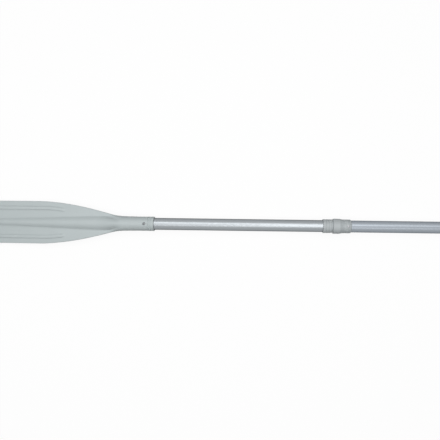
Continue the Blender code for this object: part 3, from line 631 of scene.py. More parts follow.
def cut_foam(name, base):
    finish = Finish(name)
    values = {"Vector": finish.node("ShaderNodeTexCoord").outputs["Object"], "Scale": 1100.0}
    cells = finish.field("ShaderNodeTexVoronoi", feature="SMOOTH_F1", **values, Smoothness=0.4)
    pits = ramp(cells, 0.15, 0.55, smooth=True)
    clouded = finish.effect(CLOUDS, colour=colour(*base), amount=0.08, patch_size=0.01)
    # Painted shade: the middle of each pit is darker.
    shaded = finish.blended(colour(*base, share=0.6), clouded, pits)
    return finish.complete(shaded, 0.85, finish.bump(pits, 0.0002, strength=0.8))


GRIP_RUBBER = handled_rubber(
    "cut_grip", (0.035, 0.038, 0.042), dusty=(0.11, 0.11, 0.105), roughness=0.62,
    grain_size=0.0007, depth=0.00006,
)
SEAL_RUBBER = handled_rubber(
    "greased_seal", (0.02, 0.02, 0.02), dusty=(0.05, 0.05, 0.05), roughness=0.4,
    grain_size=0.0004, depth=0.00001,
)
PLUG_FOAM = cut_foam("cut_foam", (0.72, 0.71, 0.67))
print("finishes:", ", ".join(group.material.name for group in FINISHES))

# %% [markdown]
# ## Turned pieces
#
# Most pieces of an oar are round: tubes, sleeves, rings, rivets, grip and cap. On a lathe each
# would follow a profile, and here too the profile's points are the start mesh. The tree lays a
# grid whose rows are the profile's points and whose columns are steps round the axis, then
# moves every grid point to its place. A relief, which changes the radius by place, adds flutes,
# diamonds, threads and flats. Corners get small fillets first, because real corners catch light.


# %% Profiles with rounded corners
FILLET_STEPS = 5


def filleted(points):
    """Rounds the corners of a profile whose points are (along, radius) or (along, radius,
    fillet), in millimetres. Each point comes back with a mark of 0 to 1 for a proud edge."""
    rounded = []
    for i, point in enumerate(points):
        if len(point) < 3 or i in (0, len(points) - 1):
            rounded.append((point[0], point[1], 0.0))
            continue
        corner = Vector(point[:2])
        back = Vector(points[i - 1][:2]) - corner
        ahead = Vector(points[i + 1][:2]) - corner
        reach = min(point[2], back.length * 0.48, ahead.length * 0.48)
        proud = 1.0 if back.cross(ahead) > 0 else 0.0
        start, end = corner + back.normalized() * reach, corner + ahead.normalized() * reach
        for step in range(FILLET_STEPS + 1):
            share = step / FILLET_STEPS
            place = start * (1 - share) ** 2 + corner * 2 * share * (1 - share) + end * share**2
            rounded.append((place.x, place.y, proud))
    return rounded


def profile_mesh(name, points, x=0.0):
    """A start mesh of profile points, moved x millimetres along the shaft. A profile that starts
    away from the axis runs round a wall, back to its first point."""
    mesh = bpy.data.meshes.new(name + "_profile")
    starts_on_axis = points[0][1] == 0.0
    rounded = filleted(points if starts_on_axis else points + [points[0][:2]])
    mesh.from_pydata([((along + x) * MM, radius * MM, 0.0) for along, radius, _ in rounded], [], [])
    marks = mesh.attributes.new("edge_wear", "FLOAT", "POINT")
    for item, (_, _, proud) in zip(marks.data, rounded):
        item.value = proud
    return mesh


def even_steps(start, end, step):
    """Places from start to end, about a step apart."""
    count = max(1, round((end - start) / step))
    return [start + (end - start) * i / count for i in range(count + 1)]


# %% The turning tree
def turn_profile(shape, relief=None):
    """Adds the nodes that turn the start mesh about the X axis."""
    profile = shape.start.outputs["Geometry"]
    count = shape.field("GeometryNodeAttributeDomainSize", Geometry=profile)
    steps = shape.size("steps")
    grid, row, column = shape.grid(count, steps + 1.0)
    turn = column / steps * (-2.0 * math.pi)

    def sampled(kind, value):
        """What the profile holds at the point of each row."""
        return shape.geometry("GeometryNodeSampleIndex", data_type=kind, domain="POINT",
                              Geometry=profile, Value=value, Index=row)

    position = shape.geometry("GeometryNodeInputPosition")
    along, radius, _ = shape.parts(sampled("FLOAT_VECTOR", position))
    mark = shape.geometry("GeometryNodeInputNamedAttribute", data_type="FLOAT", Name="edge_wear")
    marked = shape.remembered(grid, "edge_wear", sampled("FLOAT", mark))
    if relief:
        radius = relief(shape, along, turn, radius)
    return shape.moved(marked, shape.vector(along, radius * cosine(turn), radius * sine(turn)))


def turned_tree(name, relief=None, cutters=None, steps=96, **sizes):
    """A tree for a piece round the shaft. Cutters are drills and boxes that take material away."""
    shape = ShapeTree(name, steps=steps, **sizes)
    turned = shape.placed(turn_profile(shape, relief), (0.0, 0.0, AXIS_Z))
    if cutters:
        turned = shape.cut(turned, *cutters(shape))
    return shape.finished(turned)


def turned_piece(name, tree, finish, points, start, *nodes, **sizes):
    """A piece made from its profile, in the place of its CAD nodes."""
    join_frame(shape_piece(name, tree, finish, profile_mesh(name, points, start), **sizes), *nodes)


# %% Two trees that several pieces share
RIVET_HOLE_RADIUS = 2.3
THROUGH_SHAFT = 60.0


def rivet_drill(shape):
    """The hole for a pair of rivets, straight through the shaft."""
    place = shape.vector(shape.size("rivet_x"), 0.0, AXIS_Z)
    return [shape.upright_drill(RIVET_HOLE_RADIUS * MM, place, THROUGH_SHAFT * MM)]


PLAIN_TURNING = turned_tree("turned piece")
DRILLED_TURNING = turned_tree("turned piece with a rivet hole", cutters=rivet_drill, rivet_x=0.0)

# %% [markdown]
# ## Tubes
#
# Both tubes are 35 mm across with a 1.5 mm wall. Saw cuts are deburred, so each end has a small
# rounded rim. Each tube is held by a pair of rivets, whose hole the tree drills straight through.

# %% The two tubes
TUBE_RADIUS = 17.5
TUBE_BORE = 16.0
TUBE_RIM = 0.5
BLADE_RIVET_X = -468.8
SLEEVE_RIVET_X = 128.3


def tube_piece(name, node, finish, rivet_x):
    low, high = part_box(node)
    length = (high.x - low.x) / MM
    points = [
        (0.0, (TUBE_RADIUS + TUBE_BORE) / 2), (0.0, TUBE_RADIUS, TUBE_RIM),
        (length, TUBE_RADIUS, TUBE_RIM), (length, TUBE_BORE, TUBE_RIM), (0.0, TUBE_BORE, TUBE_RIM),
    ]
    turned_piece(name, DRILLED_TURNING, finish, points, low.x / MM, node, rivet_x=rivet_x * MM)


tube_piece("lower_shaft_tube", "lower_tube", LOWER_TUBE_METAL, BLADE_RIVET_X)
tube_piece("upper_shaft_tube", "upper_tube", UPPER_TUBE_METAL, SLEEVE_RIVET_X)

# %% [markdown]
# ## Blade
#
# The blade is one injection moulding: a round socket that flattens into a cambered, spooned
# plate with a spine and two raised ribs. Its section follows a rule along its length, so one
# tree makes it from a grid. Rows are places along the blade, columns go round the section, and
# each formula below gives one line of the shape. The distances d run from the socket's mouth
# towards the tip, in millimetres.

# %% The blade's outline
BLADE_LENGTH = 608.0
SHOULDER_END = 344.8
SHOULDER_LENGTH = 240.0
SHOULDER_DROP = 44.6
SHOULDER_POWER = 1.79
NECK_SOFTNESS = 6.2
TIP_START = 548.0
TIP_LENGTH = 60.4
TIP_POWER = 2.4


def past_tip_start(d):
    return most(d - TIP_START, 0.0) / TIP_LENGTH


def half_width(shape, d):
    left = most(SHOULDER_END - d, 0.0) / SHOULDER_LENGTH
    flare = shape.size("half_width") - SHOULDER_DROP * power(left, SHOULDER_POWER)
    width = smooth_most(flare, shape.size("socket_radius"), NECK_SOFTNESS)
    return width * power(1.0 - power(past_tip_start(d), TIP_POWER), 1.0 / TIP_POWER)


# %% The spine
SOCKET_DEPTH = 101.0
SPINE_ROOT = 21.8
SPINE_ROOT_AT = 107.0
SPINE_TAPER = 0.033
SPINE_MOST_SHARE = 0.73
SPINE_NECK_SOFTNESS = 3.0
SPINE_HEIGHT = 11.8
SPINE_TIP_HEIGHT = 3.2
SPINE_FALL_POWER = 0.68
FAIRING_START = 90.0
FAIRING_END = 172.0


def spine_half_width(d, width):
    line = SPINE_ROOT - SPINE_TAPER * (d - SPINE_ROOT_AT)
    return -smooth_most(-line, width * -SPINE_MOST_SHARE, SPINE_NECK_SOFTNESS)


def crest_height(shape, d):
    """The socket's round back sinks to the height of the spine, which falls slowly to the tip."""
    left = 1.0 - most(d - SOCKET_DEPTH, 0.0) / (BLADE_LENGTH - SOCKET_DEPTH)
    spine = SPINE_TIP_HEIGHT + (SPINE_HEIGHT - SPINE_TIP_HEIGHT) * power(left, SPINE_FALL_POWER)
    fairing = fade(d, FAIRING_START, FAIRING_END, smooth=True)
    return spine + (shape.size("socket_radius") - SPINE_HEIGHT) * fairing


# %% The ribs
RIB_START = 264.0
RIB_STRAIGHT_FROM = 329.0
RIB_STRAIGHT_TO = 520.0
RIB_END = 578.0
RIB_INTURN = 5.8
RIB_END_LENGTH = 12.0


def rib_centre(shape, d):
    before = fade(d, RIB_START, RIB_STRAIGHT_FROM)
    after = most(d - RIB_STRAIGHT_TO, 0.0) / (RIB_END - RIB_STRAIGHT_TO)
    return shape.size("rib_offset") - RIB_INTURN * (before * before + after * after)


def rib_height(shape, d):
    return shape.size("rib_height") * between(d, RIB_START, RIB_END, RIB_END_LENGTH, smooth=True)


# %% Rows and columns
ROUND_END = 92.0

# Rows of the grid: the bore comes first, then the outside as (row, distance)
BORE_ROWS = 4
TIP_ROW = 222
LAST_ROW = 259
ROW_LINE = (
    (BORE_ROWS, 0.0), (52, 24.0), (64, ROUND_END), (134, RIB_START),
    (142, RIB_START + RIB_END_LENGTH), (TIP_ROW, TIP_START),
)

# Columns of half the ring, from the crest of the spine to the edge, and on to the smooth side
SPINE_COLUMN = 18
FOOT_COLUMN = 21
RIB_COLUMN = 25
RIB_SIDE_COLUMNS = 6
RIB_END_COLUMN = 43
EDGE_COLUMN = 47
SIDE_COLUMN = 52
FACE_SPINE_COLUMN = 8
FACE_EDGE_COLUMN = 14
FACE_COLUMNS = 18
HALF_RING = SIDE_COLUMN + FACE_COLUMNS

# Where the section is round: (column, share of a quarter turn) for each of its two sides
BACK_TURNS = (
    (0, 0.0), (SPINE_COLUMN, 0.4), (FOOT_COLUMN, 0.467), (RIB_COLUMN, 0.533),
    (RIB_END_COLUMN, 0.8), (EDGE_COLUMN, 0.867), (SIDE_COLUMN, 1.0),
)
FACE_TURNS = ((0, 0.0), (FACE_SPINE_COLUMN, 0.5), (FACE_EDGE_COLUMN, 0.75), (FACE_COLUMNS, 1.0))

# Across a rib: (column, share of its width)
RIB_LINE = (
    (RIB_COLUMN, 0.0), (RIB_COLUMN + RIB_SIDE_COLUMNS, 0.12),
    (RIB_END_COLUMN - RIB_SIDE_COLUMNS, 0.76), (RIB_END_COLUMN, 1.0),
)
print(f"the blade's grid: {LAST_ROW + 1} rows of {2 * HALF_RING + 1} points")


# %% The ribbed side of a section
SPINE_SIDE_POWER = 1.4
SPINE_FILLET = 2.0
FOOT_MOST, FOOT_MOST_SHARE = 2.0, 0.1
RIB_MOST_SHARE = 0.13
RIB_MOST_OUT = 0.68


def quarter(share):
    return share * (math.pi / 2.0)


def round_rim(column, edge_column, last_column, edge):
    """The plate's rim: how far out each column is, how high, and where the rim is."""
    turn = quarter(ramp(column, edge_column, last_column))
    return edge * sine(turn), edge * cosine(turn), ramp(column, edge_column - 0.5, edge_column)


def back_side(shape, column, d, width, spine, thin):
    """The ribbed side of the plate from its crest to its edge: y, height, and the y of the rib's
    two feet."""
    middle, rim = shape.size("plate_half_middle"), shape.size("plate_half_edge")
    edge = rim * thin
    span = width - edge - spine
    foot = spine + least(FOOT_MOST, span * FOOT_MOST_SHARE)
    rib_half = least(shape.size("rib_half_width"), span * RIB_MOST_SHARE)
    centre = least(rib_centre(shape, d), spine + span * RIB_MOST_OUT)
    over = quarter(ramp(column, 0.0, SPINE_COLUMN))
    rim_y, rim_height, on_rim = round_rim(column, EDGE_COLUMN, SIDE_COLUMN, edge)

    y = spine * sine(over) + (foot - spine) * ramp(column, SPINE_COLUMN, FOOT_COLUMN)
    y = y + (centre - rib_half - foot) * ramp(column, FOOT_COLUMN, RIB_COLUMN)
    y = y + broken_line(column, RIB_LINE) * rib_half * 2.0
    y = y + (width - edge - centre - rib_half) * ramp(column, RIB_END_COLUMN, EDGE_COLUMN) + rim_y

    side = power(most(cosine(over), 0.0), SPINE_SIDE_POWER)
    crest = smooth_most(crest_height(shape, d) * side, middle, SPINE_FILLET) * thin
    plate = mix(middle, rim, least(y / width, 1.0)) * thin
    raised = between(column, RIB_COLUMN, RIB_END_COLUMN, RIB_SIDE_COLUMNS, smooth=True)
    height = mix(crest, plate, ramp(column, SPINE_COLUMN, FOOT_COLUMN)) + raised * rib_height(shape, d)
    return y, mix(height, rim_height, on_rim), centre - rib_half, centre + rib_half


# %% The smooth side of a section
FACE_FLUSH_AT = 260.0


def smooth_side(shape, column, d, width, spine, thin):
    """The smooth side of the plate, whose columns run from its middle to its edge: y, depth, and
    the depth of its middle."""
    middle, rim = shape.size("plate_half_middle"), shape.size("plate_half_edge")
    edge = rim * thin
    over = quarter(ramp(column, 0.0, FACE_SPINE_COLUMN))
    flat = ramp(column, FACE_SPINE_COLUMN, FACE_EDGE_COLUMN)
    rim_y, rim_depth, on_rim = round_rim(column, FACE_EDGE_COLUMN, FACE_COLUMNS, edge)
    y = spine * sine(over) + (width - edge - spine) * flat + rim_y
    bulge = shape.size("socket_radius") * fade(d, SOCKET_DEPTH, FACE_FLUSH_AT, smooth=True)
    depth = smooth_most(bulge * cosine(over), middle, 1.0) * thin
    depth = mix(depth, mix(middle, rim, flat) * thin, least(flat * 3.0, 1.0))
    return y, mix(depth, rim_depth, on_rim), most(bulge, middle)


# %% Worn places and painted shade
PLATE_START = 140.0
RIM_WEAR, RIM_WEAR_WIDTH, MOUTH_WEAR_WIDTH = 0.3, 5.0, 3.0
RIB_WEAR, RIB_WEAR_INSET = 0.35, 4.0
# How strongly and how wide shade is painted along the feet of the spine and of the ribs.
SPINE_SHADE, SPINE_SHADE_WIDTH = 0.4, 3.0
RIB_SHADE, RIB_SHADE_WIDTH = 0.6, 1.6


def rubbed_places(d, column, from_edge, plate_share, outside, ribbed_side):
    """What handling has rubbed: the rim of the plate, the mouth, and the tops of the ribs."""
    rim = ramp(from_edge, 0.0, RIM_WEAR_WIDTH, RIM_WEAR, 0.0) * plate_share
    rim = rim * ramp(d, PLATE_START, RIB_START)
    mouth = fade(d, 0.0, MOUTH_WEAR_WIDTH) * outside
    ribs = ramp(d, RIB_START, RIB_START + RIB_END_LENGTH) * RIB_WEAR * ribbed_side
    ribs = ribs * between(column, RIB_COLUMN + RIB_WEAR_INSET, RIB_END_COLUMN - RIB_WEAR_INSET, 2.0)
    return most(most(rim, mouth), ribs)


def near_line(y, line, reach):
    """1 on a line along the blade, falling to 0 at a distance of reach."""
    return fade(magnitude(y - line), reach * 0.2, reach, smooth=True)


def painted_shade_lines(d, y, spine, inner_foot, outer_foot):
    """Where shade is painted: along the feet of the spine and of the ribs."""
    rib_feet = near_line(y, inner_foot, RIB_SHADE_WIDTH) + near_line(y, outer_foot, RIB_SHADE_WIDTH)
    ribbed = between(d, RIB_START, RIB_END, RIB_END_LENGTH)
    spine_feet = near_line(y, spine, SPINE_SHADE_WIDTH)
    return least(spine_feet * SPINE_SHADE + rib_feet * ribbed * RIB_SHADE, 1.0)


# %% The blade's tree
MOUTH_X = -442.0
TIP_THIN_POWER = 8.0
SPOON_START = 150.0
RECESS_RADIUS, RECESS_FLOOR, RECESS_DRILL = 4.3, 18.8, 10.0

# The mouth's chamfer and its two shallow rings, as (distance, height above the socket)
MOUTH_LINE = (
    (0.0, -0.8), (0.5, -0.1), (1.4, 0.4), (7.8, 0.4), (8.9, -0.6), (9.7, -0.6), (10.8, 0.4),
    (14.0, 0.4), (15.1, -0.6), (15.9, -0.6), (17.0, 0.4), (21.0, 0.0),
)


def blade_tree():
    shape = ShapeTree(
        "blade", half_width=62.8, socket_radius=20.5, bore_radius=17.8, plate_half_middle=2.6,
        plate_half_edge=1.9, camber=2.5, spoon=26.905, rib_offset=42.8, rib_half_width=5.5,
        rib_height=1.8, rivet_x=BLADE_RIVET_X * MM,
    )
    grid, row, column = shape.grid(LAST_ROW + 1, 2 * HALF_RING + 1)
    side = ramp(above(column, HALF_RING + 0.5), 0.0, 1.0, -1.0, 1.0)
    folded = HALF_RING - magnitude(column - HALF_RING)
    smooth_column = HALF_RING - folded
    is_smooth = above(folded, SIDE_COLUMN + 0.5)
    upward = ramp(is_smooth, 0.0, 1.0, 1.0, -1.0)
    turn = quarter(mix(broken_line(folded, BACK_TURNS), broken_line(smooth_column, FACE_TURNS), is_smooth))

    tip = sine(quarter(ramp(row, TIP_ROW, LAST_ROW - 1)))
    d = broken_line(row, ROW_LINE) + tip * (BLADE_LENGTH - TIP_START)
    width, thin = half_width(shape, d), root(1.0 - power(past_tip_start(d), TIP_THIN_POWER))
    spine = spine_half_width(d, width)
    back_y, back_height, inner_foot, outer_foot = back_side(shape, folded, d, width, spine, thin)
    face_y, face_depth, face_round = smooth_side(shape, smooth_column, d, width, spine, thin)

    bead = broken_line(d, MOUTH_LINE, smooth=True)
    tall = mix(crest_height(shape, d), face_round, is_smooth) + bead
    plate_share = ramp(d, ROUND_END, PLATE_START, smooth=True)
    across = mix((width + bead) * sine(turn), mix(back_y, face_y, is_smooth), plate_share)
    up = mix(tall * cosine(turn), mix(back_height, face_depth, is_smooth), plate_share)
    bow = across / shape.size("half_width")
    height = upward * up - shape.size("camber") * bow * bow * plate_share

    closing = fade(row, LAST_ROW - 1, LAST_ROW)
    across, height = across * closing, height * closing
    in_bore = above(BORE_ROWS - 0.5, row)
    bore = shape.size("bore_radius") * ramp(row, 0.0, 1.0) + ramp(row, 2.0, 3.0, 0.0, 0.7)
    across = mix(across, bore * sine(turn), in_bore)
    height = mix(height, upward * bore * cosine(turn), in_bore)
    d = mix(d, broken_line(row, ((1, SOCKET_DEPTH), (2, 0.9), (3, 0.0))), in_bore)

    along_spoon = most(d - SPOON_START, 0.0) / (BLADE_LENGTH - SPOON_START)
    drop = shape.size("spoon") * along_spoon * along_spoon
    place = shape.vector((MOUTH_X - d) * MM, across * side * MM, (height - drop) * MM + AXIS_Z)

    outside, ribbed_side = 1.0 - in_bore, 1.0 - is_smooth
    rubbed = rubbed_places(d, folded, width - across, plate_share, outside, ribbed_side)
    # Painted shade along the feet of the spine and the ribs, stored for the finish to read.
    foot_shade = painted_shade_lines(d, back_y, spine, inner_foot, outer_foot) * plate_share * ribbed_side
    marked = shape.remembered(shape.remembered(grid, "edge_wear", rubbed), "crease", foot_shade)
    skin = shape.moved(marked, place)

    recesses = []
    for way in (1, -1):
        drill_z = AXIS_Z + way * (RECESS_FLOOR + RECESS_DRILL / 2) * MM
        centre = shape.vector(shape.size("rivet_x"), 0.0, drill_z)
        recesses.append(shape.upright_drill(RECESS_RADIUS * MM, centre, RECESS_DRILL * MM, steps=48))
    return shape.finished(shape.cut(shape.cut(skin, *recesses), *rivet_drill(shape)))


join_frame(shape_piece("blade_moulding", blade_tree(), BLADE_PLASTIC), "blade")

# %% [markdown]
# ## Rivets
#
# Blind rivets hold the blade and the joint to their tubes: a low domed head with a small eye,
# where the mandrel broke off. One rivet is turned from its profile, and the tree puts it in
# twice, on the near side and on the far side. The blade's pair is a darker metal, made darker
# still as painted shade for the recesses it sits in, and the sleeve's pair is only a little
# lighter than the plastic round it.


# %% A pair of rivets
def rivet_pair_tree():
    shape = ShapeTree("pair of rivets", steps=40, rivet_x=0.0)
    rivet = turn_profile(shape)
    centre = shape.vector(shape.size("rivet_x"), 0.0, AXIS_Z)
    place = shape.geometry("GeometryNodePoints", Count=1, Position=centre)
    pair = []
    for quarter_turn in (-math.pi / 2, math.pi / 2):
        turn = shape.geometry("FunctionNodeEulerToRotation", Euler=(0.0, quarter_turn, 0.0))
        pair.append(shape.geometry("GeometryNodeInstanceOnPoints",
                                   Points=place, Instance=rivet, Rotation=turn))
    return shape.finished(shape.joined(*pair))


RIVET_PAIR = rivet_pair_tree()
EYE_RIM = 0.4
DOME_INNER_RADIUS = 1.4


def rivet_profile(seat, head_radius, dome):
    """Points (height above the shaft's axis, radius) from the swollen tail up to the eye."""
    tail = TUBE_BORE - 0.3
    rim = seat + 0.4
    top = rim + dome * 0.98
    points = [
        (tail - 3.0, 0.0), (tail - 3.0, 2.6, 0.5), (tail - 0.5, 3.1, 0.4), (tail, 2.0, 0.1),
        (seat, 2.0, 0.1), (seat, head_radius, 0.15), (rim, head_radius, 0.25),
    ]
    for angle in range(15, 76, 15):
        rise = math.radians(angle)
        radius = EYE_RIM + (head_radius - EYE_RIM) * math.cos(rise)
        if radius > DOME_INNER_RADIUS:
            points.append((rim + dome * math.sin(rise), radius))
    return points + [(top, 1.25, 0.15), (top - 1.2, 1.05, 0.1), (top - 1.0, 0.0)]


def rivets(name, owner, finish, rivet_x, points):
    nodes = (f"{owner}_rivet_front", f"{owner}_rivet_back")
    turned_piece(name, RIVET_PAIR, finish, points, 0.0, *nodes, rivet_x=rivet_x * MM)


sunk_rivet = rivet_profile(seat=19.1, head_radius=3.9, dome=0.5)
rivets("blade_rivet_pair", "blade", SHADED_RIVET_METAL, BLADE_RIVET_X, sunk_rivet)
proud_rivet = rivet_profile(seat=20.6, head_radius=3.3, dome=0.7)
rivets("sleeve_rivet_pair", "coupler", RIVET_METAL, SLEEVE_RIVET_X, proud_rivet)

# %% [markdown]
# ## Joint
#
# The joint in mid shaft has three moulded pieces. A cup in the lower tube slides into a sleeve
# that is riveted to the upper tube, and a banded ring turns on the sleeve's slotted nose. All
# are turned pieces, and their profiles count from the groove between the ring and the sleeve.
# The cup has flutes, which leave it less to rub on.

# %% The cup
JOINT_X = 83.3
CUP_START, CUP_SHOULDER, CUP_END = -88.0, 34.0, 38.0
CUP_RADIUS, CUP_BORE = 15.7, 13.3
CUP_DIMPLE_X = CUP_END - 0.8
FLUTES_START, FLUTES_END, FLUTE_RUN_OUT = 60.0, 118.0, 6.0


def fluted(shape, along, turn, radius):
    """Shallow flutes on the outer side, which fade out before the cup's rim."""
    wave = most(cosine(turn * shape.size("flutes")), 0.0)
    outside = ramp(radius, (CUP_RADIUS - 0.7) * MM, (CUP_RADIUS - 0.3) * MM)
    here = between(along, FLUTES_START * MM, FLUTES_END * MM, FLUTE_RUN_OUT * MM, smooth=True)
    return radius - wave * wave * shape.size("flute_depth") * outside * here


CUP_TURNING = turned_tree("fluted cup", fluted, steps=144, flutes=12.0, flute_depth=0.5 * MM)
cup_points = [
    (CUP_START, CUP_BORE), (CUP_START, 14.5), (CUP_START, CUP_RADIUS, 0.6), (-30.0, CUP_RADIUS),
    *((along, CUP_RADIUS) for along in even_steps(-26.0, CUP_SHOULDER, 2.0)[:-1]),
    (CUP_SHOULDER, CUP_RADIUS, 1.5), (CUP_END, 13.2, 1.0), (CUP_END, 3.0), (CUP_DIMPLE_X, 2.4, 0.3),
    (CUP_DIMPLE_X, 0.0), (CUP_SHOULDER, 0.0), (CUP_SHOULDER, CUP_BORE, 1.0),
]
turned_piece("spigot_cup", CUP_TURNING, SPIGOT_PLASTIC, cup_points, JOINT_X, "joint_spigot")

# %% The sleeve
NOSE_START, NOSE_RADIUS, BEAD_RADIUS = -24.9, 18.6, 19.1
SLOTS_END, SLOT_LENGTH, SLOT_WIDTH = -9.0, 30.0, 2.0
SHOULDER_RADIUS, SLEEVE_RADIUS = 22.2, 20.3
TAPER_START, TAPER_LENGTH = 19.0, 12.0
GROOVE_AT, GROOVE_HALF_WIDTH, GROOVE_DEPTH = 38.2, 1.3, 0.8
SLEEVE_END, END_LENGTH, END_DROP = 54.8, 5.5, 1.9
TUBE_SEAT, TUBE_STOP = 17.8, 13.7
SEAL_START, SEAL_END, SEAL_RADIUS = 5.9, 8.1, 18.0


def slot_boxes(shape):
    """The rivet's hole and the four slots of the nose, as two crossed flat boxes."""
    size = (SLOT_LENGTH * MM, THROUGH_SHAFT * MM, SLOT_WIDTH * MM)
    place = ((JOINT_X + SLOTS_END - SLOT_LENGTH / 2) * MM, 0.0, AXIS_Z)
    return rivet_drill(shape) + [shape.box(size, place), shape.box(size, place, (math.pi / 2, 0.0, 0.0))]


def smooth_step(share):
    return share * share * (3 - 2 * share)


def taper_point(share):
    """A point of the slope from the shoulder down to the sleeve."""
    sunk = smooth_step(share) * (SHOULDER_RADIUS - SLEEVE_RADIUS)
    return (TAPER_START + TAPER_LENGTH * share, SHOULDER_RADIUS - sunk)


def end_point(turn):
    """A point of the sleeve's rounded end, which is a quarter of an ellipse."""
    along = SLEEVE_END - END_LENGTH * (1 - math.sin(turn))
    return (along, SLEEVE_RADIUS - END_DROP * (1 - math.cos(turn)))


SLEEVE_TURNING = turned_tree("slotted sleeve", cutters=slot_boxes, rivet_x=0.0)
sleeve_points = [
    (NOSE_START, 17.0), (NOSE_START, NOSE_RADIUS, 0.7), (-23.0, NOSE_RADIUS, 0.4),
    (-22.0, BEAD_RADIUS, 0.3), (-20.4, BEAD_RADIUS, 0.3), (-19.4, NOSE_RADIUS, 0.4),
    (1.6, NOSE_RADIUS, 0.3), (1.6, SHOULDER_RADIUS, 2.4), (TAPER_START, SHOULDER_RADIUS, 3.0),
    *(taper_point(share) for share in (0.2, 0.35, 0.5, 0.65, 0.8)),
    (TAPER_START + TAPER_LENGTH, SLEEVE_RADIUS, 2.0), (GROOVE_AT - GROOVE_HALF_WIDTH, SLEEVE_RADIUS, 0.5),
    (GROOVE_AT, SLEEVE_RADIUS - GROOVE_DEPTH, 0.5), (GROOVE_AT + GROOVE_HALF_WIDTH, SLEEVE_RADIUS, 0.5),
    *(end_point(math.radians(angle)) for angle in range(0, 91, 10)),
    (SLEEVE_END, TUBE_SEAT, 0.2), (TUBE_STOP, TUBE_SEAT, 0.2), (TUBE_STOP, TUBE_BORE, 0.2),
    (SEAL_END, TUBE_BORE, 0.2), (SEAL_END, SEAL_RADIUS, 0.2), (SEAL_START, SEAL_RADIUS, 0.2),
    (SEAL_START, TUBE_BORE, 0.2), (NOSE_START, TUBE_BORE, 0.5),
]
turned_piece(
    "coupler_sleeve", SLEEVE_TURNING, JOINT_PLASTIC, sleeve_points, JOINT_X, "coupler",
    rivet_x=SLEEVE_RIVET_X * MM,
)

# %% The ring
RING_START, RING_END = -28.1, -1.6
RING_BORE, TRACK_RADIUS, COLLAR_BORE = 18.9, 19.4, 18.3
VALLEYS = (-19.2, -10.8, -4.6)
VALLEY_LINE = ((-1.2, 0.0, 0.5), (-0.5, 0.55, 0.4), (0.5, 0.55, 0.4), (1.2, 0.0, 0.5))

ring_points = [
    (RING_START, 19.0), (RING_START, SLEEVE_RADIUS, 1.3),
    *((valley + aside, SLEEVE_RADIUS - depth, fillet)
      for valley in VALLEYS for aside, depth, fillet in VALLEY_LINE),
    (RING_END, SLEEVE_RADIUS, 1.3), (RING_END, RING_BORE, 0.3), (-19.1, RING_BORE, 0.3),
    (-20.1, TRACK_RADIUS, 0.3), (-22.3, TRACK_RADIUS, 0.3), (-23.3, RING_BORE, 0.3),
    (-25.5, RING_BORE, 0.2), (-25.5, COLLAR_BORE, 0.2), (RING_START, COLLAR_BORE, 0.4),
]
turned_piece("lock_ring_banded", PLAIN_TURNING, JOINT_PLASTIC, ring_points, JOINT_X, "lock_ring")

# %% [markdown]
# ## Stop
#
# The stop is a split clamp with a flange that rests against the rowlock. Its hub and flange are
# turned, two ears are joined on, and a slit and a screw hole are cut. A moulded piece has no
# sharp corner anywhere, so the whole body is remeshed finely and smoothed a little.

# %% The clamp's body
STOP_X = 450.0
FLANGE_RADIUS, FLANGE_WIDTH = 31.0, 7.0
HUB_RADIUS, HUB_LENGTH = 23.0, 26.0
SCREW_X = 463.5
SCREW_Y = 30.0
EAR_LENGTH, EAR_DEPTH, EAR_Y = 21.0, 17.2, 28.4
SLIT_LENGTH, SLIT_DEPTH, SLIT_Y = 40.0, 26.0, 29.0
HOLE_DEPTH = 40.0
REMESH_STEP = 0.55
SMOOTHING_ROUNDS, SMOOTHING_SHARE = 5, 0.5


def clamp_tree():
    shape = ShapeTree("split clamp", steps=128, ear_height=17.0, slit=2.4, screw_hole=5.6)
    body = shape.placed(turn_profile(shape), (0.0, 0.0, AXIS_Z))
    ear_size = shape.vector(EAR_LENGTH * MM, EAR_DEPTH * MM, shape.size("ear_height") * MM)
    ears = shape.box(ear_size, (SCREW_X * MM, EAR_Y * MM, AXIS_Z))
    slit_size = shape.vector(SLIT_LENGTH * MM, SLIT_DEPTH * MM, shape.size("slit") * MM)
    slit = shape.box(slit_size, (SCREW_X * MM, SLIT_Y * MM, AXIS_Z))
    hole_place = (SCREW_X * MM, SCREW_Y * MM, AXIS_Z)
    hole = shape.upright_drill(shape.size("screw_hole") * 0.5 * MM, hole_place, HOLE_DEPTH * MM)
    return shape.finished(shape.cut(shape.united(body, ears), slit, hole))


clamp_points = [
    (0.0, 25.0), (0.0, FLANGE_RADIUS, 2.2), (FLANGE_WIDTH, FLANGE_RADIUS, 2.2),
    (FLANGE_WIDTH, HUB_RADIUS, 2.4), (HUB_LENGTH, HUB_RADIUS, 2.0), (HUB_LENGTH, TUBE_SEAT, 0.8),
    (0.0, TUBE_SEAT, 0.8),
]
clamp_profile = profile_mesh("stop_clamp", clamp_points, STOP_X)
clamp = shape_piece("stop_clamp", clamp_tree(), STOP_PLASTIC, clamp_profile)
soften = clamp.modifiers.new("moulded corners", "REMESH")
soften.mode = "VOXEL"
soften.voxel_size = REMESH_STEP * MM
smoothing = clamp.modifiers.new("smoothing", "SMOOTH")
smoothing.iterations = SMOOTHING_ROUNDS
smoothing.factor = SMOOTHING_SHARE
one_finish(plain_mesh(clamp, sharp=60), STOP_PLASTIC)
join_frame(clamp, "oar_stop")

# %% [markdown]
# ## Clamp screw
#
# A pan-head screw draws the ears together over a washer and a hexagon nut. Its thread is a
# relief of the turned shank: the radius rises and falls with the distance along the screw less
# the share of a turn, so that the ridge winds up by one pitch a turn. The nut is turned too,
# with a relief that holds its outside to six flats.


# %% Thread, flats and slot
HEAD_TOP, HEAD_RADIUS = 13.3, 4.6
SLOT_CUT, SLOT_REACH, DRIVER_WIDTH = 1.4, 20.0, 1.2
NUT_OUTER_SIDE = 3.5


def turns(turn, count=1.0):
    """An angle as a number of turns, or of equal shares of a turn."""
    return turn / (2.0 * math.pi) * count


